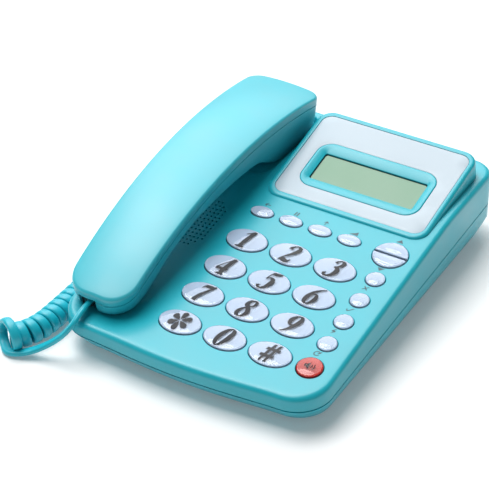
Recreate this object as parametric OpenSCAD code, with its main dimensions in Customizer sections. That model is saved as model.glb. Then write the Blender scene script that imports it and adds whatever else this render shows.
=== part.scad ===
// Desktop push-button telephone with a caller display, a handset in a
// cradle on its left and a curly handset cord.
// +X right, +Y to the back, +Z up. Origin under the middle of the base.

/* [Base] */
// Width of the base at its widest
body_w = 139; // [134:1:150]
// Length of the base from front to back
body_l = 198; // [194:1:206]
// Plan radius of the two front corners
front_r = 18; // [14:1:22]
// Plan radius of the two rear corners
rear_r = 12; // [9:1:14]
// How far the middle of the front edge bows forward
front_bow = 3; // [1:0.5:4]
// Wall thickness of the two base shells
wall = 2.2; // [1.8:0.1:2.6]
// Height of the seam between the shells at the front
seam_front_z = 11.5; // [10.5:0.5:12.5]
// Height of the seam between the shells at the back
seam_rear_z = 19.5; // [17:0.5:20]
// Inward lean of the lower side walls at the bottom
side_lean = 4; // [2:0.5:5]
// Inward lean of the lower front wall at the bottom
front_lean = 8; // [5:0.5:9]
// Height of the rubber feet below the lower shell
foot_h = 1.5; // [1:0.1:2]
// Height of the step under the rear edge
rear_step_z = 6.5; // [5:0.5:8]
// Length of the step under the rear edge
rear_step_l = 17; // [12:1:20]

/* [Deck] */
// Slope of the keypad deck in degrees
deck_tilt = 7.2; // [6.5:0.1:8]
// Height of the deck surface at the middle of the keypad
deck_z = 26; // [25:0.5:28]
// Height of the level deck behind the keypad
rear_deck_z = 37; // [36.5:0.5:39]
// Distance from the front edge to the middle of the keypad
keypad_from_front = 55.5; // [54:0.5:58]
// Depth of the trough that the handset lies over
trough_d = 2.6; // [2:0.1:3]
// Width of that trough
trough_w = 56; // [54:1:58]

/* [Keys] */
// Distance between digit key columns
key_pitch_x = 24; // [23:0.5:25]
// Distance between digit key rows
key_pitch_y = 21; // [20:0.5:22]
// Width of a digit key
key_w = 21.4; // [18:0.2:21.4]
// Depth of a digit key
key_d = 14.8; // [12:0.2:16]
// Height of a key above the deck
key_h = 1.4; // [0.8:0.1:2]
// Width of an oval function key
oval_w = 12.2; // [10:0.2:13]
// Depth of an oval function key
oval_d = 7.2; // [6:0.2:8]
// Distance between the small function keys
small_pitch = 16; // [15:0.25:16.5]
// Diameter of a small round key
round_d = 9.4; // [8:0.2:10]
// Diameter of the split up and down key pair
split_d = 17.4; // [15:0.2:18]
// Diameter of the speakerphone key
speaker_key_d = 12.6; // [11:0.2:13]
// Clearance round a key in its hole
key_gap = 0.3; // [0.2:0.05:0.4]
// Travel of a key
key_travel = 1.2; // [0.8:0.1:1.3]

/* [Display] */
// Width of the raised display housing
display_w = 88; // [85:1:90]
// Length of the raised display housing along its slope
display_l = 66; // [62:1:68]
// Corner radius of the display housing
display_r = 8; // [5:1:10]
// Slope of the display in degrees
display_tilt = 11.5; // [10.5:0.5:12]
// Width of the silver faceplate
plate_w = 82; // [78:0.5:83]
// Length of the silver faceplate
plate_l = 59; // [56:0.5:60]
// Thickness of the silver faceplate
plate_t = 0.8; // [0.6:0.1:1]
// Width of the cut-out in the faceplate
cutout_w = 66; // [63:0.5:68]
// Length of the cut-out in the faceplate
cutout_l = 32; // [29:0.5:34]
// Visible width of the liquid crystal display
lcd_w = 57; // [54:0.5:59]
// Visible length of the liquid crystal display
lcd_l = 19; // [17:0.5:21]

/* [Handset] */
// Width of the handset at the mouthpiece
mouth_w = 36; // [35:0.5:36.5]
// Width of the handset at the earpiece
ear_w = 41; // [39:0.5:41.5]
// Front end of the handset, from the middle of the base
handset_front = 87; // [85:0.5:87.5]
// Rear end of the handset, from the middle of the base
handset_rear = 90; // [88:0.5:90.5]
// Radius of the arched back of the handset
back_r = 256; // [250:1:262]
// Highest point of the side edge of the back
back_z = 59; // [58:0.5:60]
// Height of the crown across the back
crown = 3; // [2:0.25:3.5]
// Radius of the arched underside of the handle
grip_r = 176; // [172:1:180]
// Highest point of the underside of the handle
grip_z = 43.6; // [42.5:0.2:44.5]
// Height of the outer shell's side wall
cover_h = 4.5; // [3.5:0.5:5.5]
// Wall thickness of the handset shells
handset_wall = 2; // [1.6:0.1:2.2]
// How far the handset lifts in its joint
lift_travel = 80; // [40:5:120]

/* [Cord] */
// Outer diameter of the curly cord's coil
coil_d = 13; // [12:0.5:13.5]
// Width of the flat cord
lead_w = 4.8; // [4:0.2:5]

/* [Hidden] */
$fn = 48;

shell_blue = "paleturquoise";
clear_blue = "lightsteelblue";
cord_blue = "darkturquoise";
board_green = "seagreen";

// Base frame
front_y = -body_l / 2;
rear_y = body_l / 2;
keypad_y = front_y + keypad_from_front;
keypad_x = 11.6;
deck_slope = tan(deck_tilt);
floor_z = foot_h + wall;
break_y = keypad_y + (rear_deck_z - deck_z) / deck_slope;
function deck_at(y) = min(deck_z + (y - keypad_y) * deck_slope, rear_deck_z);
function seam_at(y) = seam_front_z + (seam_rear_z - seam_front_z) * (y - front_y) / body_l;

// Display frame, at the middle of the display housing's sloping face
display_x = 20.5;
display_y = 54.4;
display_z = 41.9;
cutout_y = -4.5;
bevel_d = 1.5;
window_t = 1;
panel_t = 2.6;
board_t = 1.6;
plate_x = 0.2;
plate_r = 5.5;
plate_sink = 0.2;
cutout_r = 8;
skin_t = 3.2;
skirt_l = 11;

// Handset frame, turned a little to follow the cradle
handset_x = -50;
handset_yaw = 1.9;
back_y = 36.5;
back_centre_z = back_z - back_r;
grip_y = 14;
grip_centre_z = grip_z - grip_r;
cup_z = 33.5;
cup_front = 39;
cup_w = 38.6;
pocket_gap = 0.5;
pocket_reach = 3;
handset_gap = 0.3;
ear_floor_z = cup_z - handset_gap;
mouth_sink = 0.6;
mouth_flat = -68;
jack_x = -3.5;
ear_y = 69;
mouth_y = -73;

// Keys, measured down from the deck surface
flange_h = 1.2;
flange_w = 0.8;
stem_end = 5.5;
mat_top = stem_end + key_travel + 0.15;
mat_t = 1.8;
pad_t = 0.6;
keyboard_top = mat_top + mat_t;
column_x = [keypad_x - key_pitch_x, keypad_x, keypad_x + key_pitch_x];
row_y = [1.5 * key_pitch_y, 0.5 * key_pitch_y, -0.5 * key_pitch_y, -1.5 * key_pitch_y];
oval_y = 53;
oval_x = [for (i = [0:3]) -16 + i * small_pitch];
round_x = 55.8;
round_y = [for (i = [0:3]) 34 - i * small_pitch];
split_x = 54.6;
split_y = 52;
split_slot = 1.2;
speaker_key_y = -31;

// Hardware
fit_gap = 0.3;
boss_bore = 6;
function screw_seat(p) = p[1] > rear_y - rear_step_l ? rear_step_z + wall + 3 : floor_z + 2.3;
door_t = 1.6;
contact_t = 0.6;
switch_h = 2.6;
mic_x = 0;
mic_y = front_y + 21;
mic_r = 4.8;
mic_h = 5;
speaker_gap = 0.2;
socket_w = 8;
socket_h = 6.2;
plug_w = 7.6;
plug_h = 5.8;
plug_l = 10;
jack_inset = 1.5;
handset_boss_y = [-30, 24];
notch_w = 10;
notch_h = 7.4;
notch_l = 4;
handset_jack_w = 10.4;
handset_jack_h = 7.4;
handset_jack_l = 13;
mouth_x = 9;
base_jack_face = -body_w / 2 + 3.5;
trough_front = -25;
trough_l = 140;
key_seat = 0.1;
screw_r = 1.25;
screw_gap = 0.05;
screw_head_r = 2.6;
short_screw_l = 5;
boss_r = 3.6;
post_r = 2.8;
housing_boss = [[-body_w / 2 + 12.5, front_y + 33], [23.6, front_y + 13], [-body_w / 2 + 12.5, 26],
    [body_w / 2 - 8, 22], [-18, rear_y - 8], [body_w / 2 - 17.5, rear_y - 8]];
keypad_boss = [[-27, 41], [-27, -30], [47.3, 21], [47.3, -21]];
foot_r = 6;
foot_spots = [[-body_w / 2 + 25.5, front_y + 33], [body_w / 2 - 25.5, front_y + 33],
    [-body_w / 2 + 15.5, rear_y - 41], [body_w / 2 - 15.5, rear_y - 45]];
keyboard_w = 92;
keyboard_l = 97.6;
keyboard_x = 15;
keyboard_y = 11.8;
mat_w = 86;
mat_l = 96;
mat_x = 17;
mat_y = 11.5;
ballast_w = 64;
ballast_l = 44;
ballast_t = 2.5;
ballast_y = front_y + 79;
weight_w = 24;
weight_l = 30;
weight_t = 5;
bay = [16, 46];
bay_w = 45.9;
bay_l = 34;
bay_top = 17;
cell_r = 5.2;
cell_l = 44.5;
mainboard_z = 20.5;
plunger_foot_z = mainboard_z + board_t + switch_h + 0.4;
mainboard_posts = [[-50, rear_y - 55], [-44, rear_y - 19], [50, rear_y - 55], [38, rear_y - 19]];
mainboard_w = 116;
mainboard_l = 46;
mainboard_y = rear_y - 37;
plunger_y = 52;
plunger_w = 10;
plunger_l = 7;
grille_x = -48;
grille_y = 36.4;
grille_pitch_x = 2.3;
grille_pitch_y = 2.8;
grille_hole_r = 0.6;
speaker_r = 18;
speaker_h = 12;
magnet_r = 9;
magnet_h = 4;
basket_r = 12;
rim_t = 2.5;
jack_w = 12;
jack_h = 10;
jack_l = 14;
base_jack_y = rear_y - 25;
base_jack_z = 11;
line_jack_x = 22;
line_jack_z = 13.4;

// Cord routes, chosen points in millimetres
coil_route = [[-85, -105, 6.6], [-81.6, -100, 6.6], [-79, -92, 6.6], [-78, -80, 6.6],
    [-77.5, -50, 6.6], [-77.5, -10, 6.6], [-78.2, 25, 6.6], [-80, 50, 6.6]];
lead_route = [[-56.3, -83.35, 23.95], [-56.4, -88.5, 23.3], [-55.8, -94, 23], [-56.4, -99.2, 20.2],
    [-59.8, -102.2, 15], [-65.2, -104.1, 9.6], [-71.8, -106.9, 5], [-77.2, -109.9, 3], [-82.8, -112, 2.7],
    [-88.5, -112.4, 3.2], [-92.2, -109.5, 4.2], [-90.9, -105.9, 5.3], [-88.9, -103.3, 6]];
base_lead_route = [[-80, 50.7, 6.6], [-81.6, 58, 6.6], [-83.2, 65, 7.4], [-82, 71.5, 9.4],
    [-76.5, 74, 10.8], [-68, 74, 11]];

// Outline of the base seen from above, moved in by d and by extra at the front
function base_outline(d, extra = 0) = let (
    hw = body_w / 2 - d, yf = front_y + front_bow + d + extra, yr = rear_y - d,
    rf = front_r - d / 2, rr = rear_r - d / 2, n = 6)
    concat(
        [for (i = [0:n]) let (a = 90 * i / n - 90) [hw - rf + rf * cos(a), yf + rf + rf * sin(a)]],
        [for (i = [0:n]) let (a = 90 * i / n) [hw - rr + rr * cos(a), yr - rr + rr * sin(a)]],
        [for (i = [0:n]) let (a = 90 + 90 * i / n) [-hw + rr + rr * cos(a), yr - rr + rr * sin(a)]],
        [for (i = [0:n]) let (a = 180 + 90 * i / n) [-hw + rf + rf * cos(a), yf + rf + rf * sin(a)]],
        [for (i = [1:7]) let (t = i / 4 - 1) [t * (hw - rf), yf - front_bow * (1 - t * t)]]);

// Solid from front to back whose side view is the given outline
module side_view(points, width) {
    rotate([90, 0, 90]) linear_extrude(width, center = true) polygon(points);
}

// Outline of a rectangle with round corners
module round_rect(w, l, r) {
    square([w - 2 * r, l], center = true);
    square([w, l - 2 * r], center = true);
    for (x = [-1, 1], y = [-1, 1]) translate([x * (w / 2 - r), y * (l / 2 - r)]) circle(r);
}

// Outline of an ellipse
function ellipse(w, d, n = 32) = [for (i = [0:n - 1]) [w / 2 * cos(360 * i / n), d / 2 * sin(360 * i / n)]];

module on_deck() {
    translate([0, keypad_y, deck_z]) rotate([deck_tilt, 0, 0]) children();
}

module on_display() {
    translate([display_x, display_y, display_z]) rotate([display_tilt, 0, 0]) children();
}

module on_handset() {
    translate([handset_x, 0, 0]) rotate([0, 0, -handset_yaw]) children();
}

// Everything between the seam and the deck surface, moved in by d and down by drop
module upper_solid(d, drop = 0) {
    intersection() {
        translate([0, 0, seam_front_z - 2]) linear_extrude(50) polygon(base_outline(d));
        side_view([[front_y - 1, seam_at(front_y - 1) - drop], [rear_y + 1, seam_at(rear_y + 1) - drop],
            [rear_y + 1, rear_deck_z - d], [break_y, rear_deck_z - d],
            [front_y - 1, deck_at(front_y - 1) - d]], 2 * body_w);
    }
}

// Trough under the handset, deeper by d
module trough(d) {
    half = trough_w / 2;
    r = (half * half + trough_d * trough_d) / (2 * trough_d);
    on_deck() translate([grille_x, trough_front, r - trough_d]) {
        sphere(r + d, $fn = 180);
        rotate([-90, 0, 0]) cylinder(r = r + d, h = trough_l, $fn = 180);
    }
}

// Pocket that takes the earpiece, larger by d
module ear_pocket(d) {
    on_handset() translate([0, 0, ear_floor_z - d]) linear_extrude(30)
        translate([0, (cup_front + handset_rear) / 2 + 1])
            round_rect(cup_w + 2 * pocket_gap + 2 * d,
                handset_rear - cup_front + 2 * pocket_reach + 2 * d, 8);
}

module at_keys(list_x, list_y) {
    for (x = list_x, y = list_y) on_deck() translate([x, y, 0]) children();
}

module key_hole(w, d) {
    translate([0, 0, -10]) linear_extrude(20) polygon(ellipse(w + 2 * key_gap, d + 2 * key_gap));
}

// Room under the deck for a key's flange beside the trough
module flange_room(w, d) {
    grow = 2 * (flange_w + key_gap);
    translate([0, 0, -wall - 10]) linear_extrude(10) polygon(ellipse(w + grow, d + grow));
}

module key_bore(d) {
    cylinder(d = d + 2 * key_gap, h = 20, center = true);
}

module key_holes() {
    at_keys(column_x, row_y) key_hole(key_w, key_d);
    at_keys(oval_x, [oval_y]) key_hole(oval_w, oval_d);
    at_keys(column_x, row_y) flange_room(key_w, key_d);
    at_keys(oval_x, [oval_y]) flange_room(oval_w, oval_d);
    at_keys([round_x], round_y) key_bore(round_d);
    at_keys([split_x], [split_y]) key_bore(split_d);
    at_keys([round_x], [speaker_key_y]) key_bore(speaker_key_d);
}

module grille_holes() {
    for (i = [-6:6], j = [-6:6])
        if (abs(i) + abs(j) < 11) on_deck()
            translate([grille_x + i * grille_pitch_x, grille_y + j * grille_pitch_y, -12])
                cylinder(r = grille_hole_r, h = 24);
}

module upper_housing() {
    color(shell_blue) {
        difference() {
            upper_solid(0);
            difference() {
                upper_solid(wall, 1);
                trough(wall);
                ear_pocket(wall);
            }
            trough(0);
            ear_pocket(0);
            key_holes();
            grille_holes();
            on_display() translate([0, 0, -30]) linear_extrude(60)
                round_rect(display_w - 8, display_l - 8, display_r - 4);
            on_handset() translate([0, plunger_y, ear_floor_z])
                cube([plunger_w + 1, plunger_l + 1, 20], center = true);
        }
        for (p = housing_boss) translate([p[0], p[1], seam_at(p[1] + boss_r)])
            difference() {
                cylinder(r = boss_r, h = deck_at(p[1] - boss_r) - (p[0] < grille_x + trough_w / 2 ? trough_d : 0)
                    - wall / 2 - seam_at(p[1] + boss_r));
                translate([0, 0, -1]) cylinder(r = screw_r + screw_gap, h = boss_bore + 1);
            }
        for (p = keypad_boss) on_deck() translate([p[0], p[1], -keyboard_top])
            difference() {
                cylinder(r = post_r, h = keyboard_top - 1);
                translate([0, 0, -1]) cylinder(r = screw_r + screw_gap, h = 5.5);
            }
    }
}

// Everything between the underside and the seam, moved in by d and up by rise
module lower_solid(d, rise = 0) {
    intersection() {
        hull() {
            translate([0, 0, foot_h + d]) linear_extrude(0.1)
                polygon(base_outline(side_lean + d, front_lean - side_lean));
            translate([0, 0, seam_front_z]) linear_extrude(12) polygon(base_outline(d));
        }
        side_view([[front_y - 1, 0], [rear_y - rear_step_l - d, 0],
            [rear_y - rear_step_l - d + 4, rear_step_z + d], [rear_y + 1, rear_step_z + d + 1],
            [rear_y + 1, seam_at(rear_y + 1) + rise], [front_y - 1, seam_at(front_y - 1) + rise]],
            2 * body_w);
    }
}

module lower_housing() {
    color(shell_blue) difference() {
        union() {
            difference() {
                lower_solid(0);
                lower_solid(wall, 1);
            }
            intersection() {
                lower_solid(0);
                for (p = housing_boss) translate([p[0], p[1], floor_z - 0.5])
                    cylinder(r = boss_r, h = 30);
            }
            for (p = mainboard_posts) translate([p[0], p[1], floor_z - 0.5])
                cylinder(r = 3, h = mainboard_z - floor_z + 0.5);
            translate([bay[0], bay[1], floor_z - 0.5]) linear_extrude(bay_top - floor_z + 0.5)
                square([bay_w + 2 * wall, bay_l + 2 * wall], center = true);
        }
        for (p = housing_boss) translate([p[0], p[1], 0]) {
            cylinder(r = screw_r + 0.35, h = 30);
            cylinder(r = screw_head_r + 0.3, h = screw_seat(p));
        }
        for (p = mainboard_posts) translate([p[0], p[1], mainboard_z - 6])
            cylinder(r = screw_r + screw_gap, h = 10);
        translate([bay[0], bay[1], 0]) {
            linear_extrude(bay_top - wall) square([bay_w, bay_l], center = true);
            linear_extrude(foot_h + door_t) square([bay_w + 4, bay_l + 4], center = true);
        }
        translate([-body_w / 2, base_jack_y, base_jack_z])
            cube([2 * jack_l, jack_w + 0.4, jack_h + 0.4], center = true);
        translate([line_jack_x, rear_y, line_jack_z])
            cube([jack_w + 0.4, 2 * (jack_l + jack_inset + fit_gap), jack_h + 0.4], center = true);
        translate([mic_x, mic_y, 0]) cylinder(r = 0.8, h = 10);
    }
}

module display_housing() {
    color(shell_blue) difference() {
        union() {
            intersection() {
                on_display() translate([0, 0, -22]) linear_extrude(22)
                    round_rect(display_w, display_l, display_r);
                side_view([[rear_y, rear_deck_z], [break_y, rear_deck_z],
                    [front_y, deck_at(front_y)], [front_y, 90], [rear_y, 90]], 2 * body_w);
            }
            on_display() translate([0, 0, -skirt_l]) linear_extrude(skirt_l - 1)
                round_rect(display_w - 8.6, display_l - 8.6, display_r - 4.3);
        }
        on_display() {
            translate([0, 0, -30]) linear_extrude(30 - skin_t)
                round_rect(display_w - 12.6, display_l - 12.6, display_r - 6);
            translate([plate_x, 0, -plate_t - plate_sink]) linear_extrude(5) difference() {
                round_rect(plate_w + 0.3, plate_l + 0.3, plate_r);
                translate([0, cutout_y]) round_rect(cutout_w - 0.3, cutout_l - 0.3, cutout_r);
            }
            hull() {
                translate([plate_x, cutout_y, 0]) linear_extrude(0.1)
                    round_rect(cutout_w - 2, cutout_l - 2, cutout_r - 1, $fn = 32);
                translate([plate_x, cutout_y, -bevel_d]) linear_extrude(0.1)
                    square([lcd_w, lcd_l], center = true);
            }
            translate([plate_x, cutout_y, -10]) linear_extrude(20) square([lcd_w, lcd_l], center = true);
        }
        ear_pocket(0);
    }
}

module faceplate() {
    color("gainsboro") on_display() translate([plate_x, 0, -plate_t - plate_sink])
        linear_extrude(plate_t) difference() {
            round_rect(plate_w, plate_l, plate_r);
            translate([0, cutout_y]) round_rect(cutout_w, cutout_l, cutout_r);
        }
}

module display_window() {
    color("whitesmoke", 0.5) on_display() translate([plate_x, cutout_y, -skin_t - window_t])
        linear_extrude(window_t) round_rect(lcd_w + 5, lcd_l + 5, 1.5);
}

module lcd_panel() {
    color("darkseagreen") on_display() translate([plate_x, cutout_y, -skin_t - window_t - panel_t])
        linear_extrude(panel_t) square([lcd_w + 5, lcd_l + 7], center = true);
}

module display_board() {
    color(board_green) on_display()
        translate([plate_x, cutout_y, -skin_t - window_t - panel_t - board_t])
            linear_extrude(board_t)
                square([display_w - 12.6 - 2 * (plate_x + fit_gap), lcd_l + 16], center = true);
}

module main_board() {
    color(board_green) translate([0, mainboard_y, mainboard_z]) linear_extrude(board_t) difference() {
        square([mainboard_w, mainboard_l], center = true);
        for (p = mainboard_posts) translate([p[0], p[1] - mainboard_y]) circle(screw_r + 0.35);
    }
}

module keypad_board() {
    color(board_green) on_deck() translate([0, 0, -keyboard_top - board_t]) linear_extrude(board_t)
        difference() {
            translate([keyboard_x, keyboard_y]) square([keyboard_w, keyboard_l], center = true);
            for (p = keypad_boss) translate(p) circle(screw_r + 0.35);
        }
}

module rubber_key_mat() {
    color("dimgray") on_deck() translate([0, 0, -keyboard_top]) {
        linear_extrude(mat_t - pad_t) difference() {
            translate([mat_x, mat_y]) square([mat_w, mat_l], center = true);
            for (p = keypad_boss) translate(p) circle(post_r + 0.4);
        }
        translate([0, 0, mat_t - pad_t]) linear_extrude(pad_t) {
            for (x = column_x, y = row_y) translate([x, y]) circle(4);
            for (x = oval_x) translate([x, oval_y]) circle(2.6);
            for (y = concat(round_y, [speaker_key_y])) translate([round_x, y]) circle(2.8);
            for (s = [-1, 1]) translate([split_x, split_y + s * split_d / 4]) circle(2);
        }
    }
}

module loudspeaker() {
    color("darkslategray") on_deck() translate([grille_x, grille_y, -trough_d - wall - speaker_gap])
        rotate_extrude() polygon([[0, -speaker_h], [magnet_r, -speaker_h], [magnet_r, magnet_h - speaker_h],
            [basket_r, magnet_h - speaker_h + 1], [speaker_r - 2, -rim_t], [speaker_r, -rim_t],
            [speaker_r, 0], [speaker_r - 2.5, 0], [speaker_r - 4, -1.5], [magnet_r - 1, -4], [0, -3]]);
}

module handsfree_microphone() {
    color("silver") translate([mic_x, mic_y, floor_z]) cylinder(r = mic_r, h = mic_h);
}

module hook_switch() {
    color("black") on_handset() translate([0, plunger_y, mainboard_z + board_t])
        translate([-6, -4, 0]) cube([12, 8, switch_h]);
}

module modular_jack(l) {
    difference() {
        translate([-jack_w / 2, 0, -jack_h / 2]) cube([jack_w, l, jack_h]);
        translate([-socket_w / 2, -1, -socket_h / 2]) cube([socket_w, l - 2, socket_h]);
    }
}

module base_handset_jack() {
    color("dimgray") translate([base_jack_face, base_jack_y, base_jack_z]) rotate([0, 0, -90])
        modular_jack(jack_l);
}

module line_jack() {
    color("dimgray") translate([line_jack_x, rear_y - jack_inset, line_jack_z]) rotate([0, 0, 180])
        modular_jack(jack_l);
}

module ballast_plate() {
    color("slategray") translate([0, ballast_y, floor_z]) linear_extrude(ballast_t)
        square([ballast_w, ballast_l], center = true);
}

module battery_cells() {
    color("orange") for (i = [-1:1])
        translate([bay[0] - cell_l / 2, bay[1] + i * (2 * cell_r + 0.4), foot_h + door_t + cell_r + 0.2])
            rotate([0, 90, 0]) {
                cylinder(r = cell_r, h = cell_l - 1);
                cylinder(r = 1.9, h = cell_l);
            }
}

module battery_contacts() {
    color("silver") for (s = [-1, 1])
        translate([bay[0] + s * (bay_w / 2 - contact_t / 2), bay[1], foot_h + door_t + cell_r + 0.2])
            cube([contact_t, bay_l - 2, 9], center = true);
}

module battery_door() {
    color(shell_blue) translate([bay[0], bay[1], foot_h]) linear_extrude(door_t - 0.2)
        square([bay_w + 3.4, bay_l + 3.4], center = true);
}

module rubber_feet() {
    color("black") for (p = foot_spots) translate([p[0], p[1], 0]) cylinder(r = foot_r, h = foot_h);
}

module screw(l, head) {
    translate([0, 0, -head]) cylinder(r = screw_head_r, h = head);
    translate([0, 0, -0.01]) cylinder(r = screw_r, h = l);
}

module housing_screws() {
    color("silver") for (p = housing_boss) translate([p[0], p[1], screw_seat(p)])
        screw(seam_at(p[1]) - screw_seat(p) + boss_bore - 1, 2);
}

module board_screws() {
    color("silver") {
        for (p = mainboard_posts) translate([p[0], p[1], mainboard_z + board_t]) mirror([0, 0, 1])
            screw(short_screw_l, 1.6);
        for (p = keypad_boss) on_deck() translate([p[0], p[1], -keyboard_top - board_t])
            screw(short_screw_l, 1.6);
    }
}

module hook_plunger() {
    color(shell_blue) on_handset() translate([0, plunger_y, 0]) {
        translate([-plunger_w / 2, -plunger_l / 2, plunger_foot_z])
            cube([plunger_w, plunger_l, cup_z - 0.2 - plunger_foot_z]);
        translate([-plunger_w / 2 - 2, -plunger_l / 2 - 2, plunger_foot_z])
            cube([plunger_w + 4, plunger_l + 4, 1.5]);
    }
}

// A key: cap above the deck, flange under it and a stem down to the mat
module key_body(w, d, stem) {
    under = wall + key_seat;
    translate([0, 0, -under - 0.1]) linear_extrude(under + 0.1 + key_h * 0.5) polygon(ellipse(w, d));
    translate([0, 0, key_h * 0.5]) linear_extrude(key_h * 0.5) polygon(ellipse(w - 1.6, d - 1.6));
    translate([0, 0, -under - flange_h]) linear_extrude(flange_h)
        polygon(ellipse(w + 2 * flange_w, d + 2 * flange_w));
    translate([0, 0, -stem_end]) cylinder(r = stem, h = stem_end - under);
}

module digit_key(column, row) {
    color(clear_blue) on_deck() translate([column_x[column], row_y[row], 0]) key_body(key_w, key_d, 3);
}

module key_1() { digit_key(0, 0); }
module key_2() { digit_key(1, 0); }
module key_3() { digit_key(2, 0); }
module key_4() { digit_key(0, 1); }
module key_5() { digit_key(1, 1); }
module key_6() { digit_key(2, 1); }
module key_7() { digit_key(0, 2); }
module key_8() { digit_key(1, 2); }
module key_9() { digit_key(2, 2); }
module key_star() { digit_key(0, 3); }
module key_0() { digit_key(1, 3); }
module key_hash() { digit_key(2, 3); }

module oval_key(i) {
    color(clear_blue) on_deck() translate([oval_x[i], oval_y, 0]) key_body(oval_w, oval_d, 2);
}

module key_oval_1() { oval_key(0); }
module key_oval_2() { oval_key(1); }
module key_oval_3() { oval_key(2); }
module key_oval_4() { oval_key(3); }

module round_key(y, d) {
    under = wall + key_seat;
    on_deck() translate([round_x, y, 0]) {
        translate([0, 0, -under - 0.1]) cylinder(d = d, h = under + 0.1 + key_h * 0.5);
        translate([0, 0, key_h * 0.5]) cylinder(d = d - 1.6, h = key_h * 0.5);
        translate([0, 0, -under - flange_h]) cylinder(d = d + 2 * flange_w, h = flange_h);
        translate([0, 0, -stem_end]) cylinder(r = 2, h = stem_end - under);
    }
}

module key_round_1() { color(clear_blue) round_key(round_y[0], round_d); }
module key_round_2() { color(clear_blue) round_key(round_y[1], round_d); }
module key_round_3() { color(clear_blue) round_key(round_y[2], round_d); }
module key_round_4() { color(clear_blue) round_key(round_y[3], round_d); }
module key_speaker() { color("salmon") round_key(speaker_key_y, speaker_key_d); }

// Half of the split round pair, side 1 at the back and -1 at the front
module split_key(side) {
    under = wall + key_seat;
    color(clear_blue) on_deck() translate([split_x, split_y, 0]) {
        intersection() {
            union() {
                translate([0, 0, -under - 0.1]) cylinder(d = split_d, h = under + 0.1 + key_h * 0.5);
                translate([0, 0, key_h * 0.5]) cylinder(d = split_d - 1.6, h = key_h * 0.5);
                translate([0, 0, -under - flange_h]) cylinder(d = split_d + 2 * flange_w, h = flange_h);
            }
            translate([-20, side > 0 ? split_slot / 2 : -20 - split_slot / 2, -10]) cube([40, 20, 20]);
        }
        translate([0, side * split_d / 4, -stem_end]) cylinder(r = 1.6, h = stem_end - under);
    }
}

module key_up() { split_key(1); }
module key_down() { split_key(-1); }

// Points on an arc about (y, z), from one y to another
function arc(cy, cz, r, y0, y1, n) =
    [for (i = [0:n]) let (y = y0 + (y1 - y0) * i / n) [y, cz + sqrt(r * r - (y - cy) * (y - cy))]];

function half_width(y) = mouth_w / 2 + (y + 60) * (ear_w - mouth_w) / 2 / 135;

// Side view of the handset's underside and ends, moved in by d
function handset_side(d) = let (r = grip_r + d, f = -handset_front + d, b = handset_rear - d,
    zf = deck_at(-handset_front) - mouth_sink + d, zm = deck_at(mouth_flat) - mouth_sink + d)
    concat([[f, 90], [f, zf], [mouth_flat, zm]], arc(grip_y, grip_centre_z, r, mouth_flat + 2 - d / 2, 31 - d, 10),
        [[37 - d, 41.4 + d], [44 - d, 37 + d], [50 - d, 34.2 + d], [56 - d, cup_z + d], [b, cup_z + d], [b, 90]]);

// Plan view of the handset, moved in by d
module handset_plan(d) {
    yf = -handset_front + d;
    yb = handset_rear - d;
    rf = 13 - d;
    rb = 7 - d;
    wf = half_width(-handset_front) - d;
    wb = half_width(handset_rear) - d;
    polygon(concat(
        [for (i = [0:6]) let (a = 15 * i - 90) [wf - rf + rf * cos(a), yf + rf + rf * sin(a)]],
        [for (i = [0:6]) let (a = 15 * i) [wb - rb + rb * cos(a), yb - rb + rb * sin(a)]],
        [for (i = [0:6]) let (a = 90 + 15 * i) [-wb + rb + rb * cos(a), yb - rb + rb * sin(a)]],
        [for (i = [0:6]) let (a = 180 + 15 * i) [-wf + rf + rf * cos(a), yf + rf + rf * sin(a)]]));
}

// Arched bar with a crowned back whose side edge lies on the given radius
module back_sweep(r, rise) {
    half = ear_w / 2 + 1;
    cr = (half * half + rise * rise) / (2 * rise);
    translate([0, back_y, back_centre_z]) rotate([0, 90, 0]) rotate_extrude($fn = 180)
        intersection() {
            translate([r / 2, -half]) square([r, 2 * half]);
            translate([r + rise - cr, 0]) circle(cr, $fn = 180);
        }
}

module handset_solid(d) {
    difference() {
        intersection() {
            linear_extrude(80) handset_plan(d);
            side_view(handset_side(d), 2 * ear_w);
            back_sweep(back_r - d, crown);
        }
        // The part that sits in the pocket is narrower than the earpiece above it
        for (side = [-1, 1]) translate([side * (cup_w / 2 - d + ear_w / 2), (cup_front + handset_rear) / 2, 0])
            linear_extrude(rear_deck_z + handset_gap + d) square([ear_w, handset_rear], center = true);
    }
}

module split_cylinder(d) {
    translate([0, back_y, back_centre_z]) rotate([0, 90, 0])
        cylinder(r = back_r - cover_h + d, h = 3 * ear_w, center = true, $fn = 180);
}

// Frame on the flat underside of the mouthpiece, +Y into the handset
module on_mouthpiece() {
    translate([jack_x, -handset_front, deck_at(-handset_front) - mouth_sink])
        rotate([deck_tilt, 0, 0]) children();
}

// Notch for the cord and opening for the jack in the mouthpiece
module jack_notch() {
    on_mouthpiece() {
        translate([-notch_w / 2, -2, -1]) cube([notch_w, notch_l + 2.1, notch_h + 1]);
        translate([-handset_jack_w / 2 - 0.1, notch_l, -1])
            cube([handset_jack_w + 0.2, handset_jack_l + 0.2, handset_jack_h + 1.1]);
    }
}

// Underside of the handle at y
function grip_at(y) = grip_centre_z + sqrt(grip_r * grip_r - (y - grip_y) * (y - grip_y));
function back_at(y) = back_centre_z + sqrt(back_r * back_r - (y - back_y) * (y - back_y));

module handset_outer_shell() {
    color(shell_blue) on_handset() {
        difference() {
            handset_solid(0);
            handset_solid(handset_wall);
            split_cylinder(0);
            jack_notch();
        }
        for (y = handset_boss_y) difference() {
            translate([0, y, grip_at(y) + handset_wall + 0.2])
                cylinder(r = 3, h = back_at(y) + crown - grip_at(y) - handset_wall - 1.2);
            translate([0, y, grip_at(y)]) cylinder(r = screw_r + screw_gap, h = 8);
        }
    }
}

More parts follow.
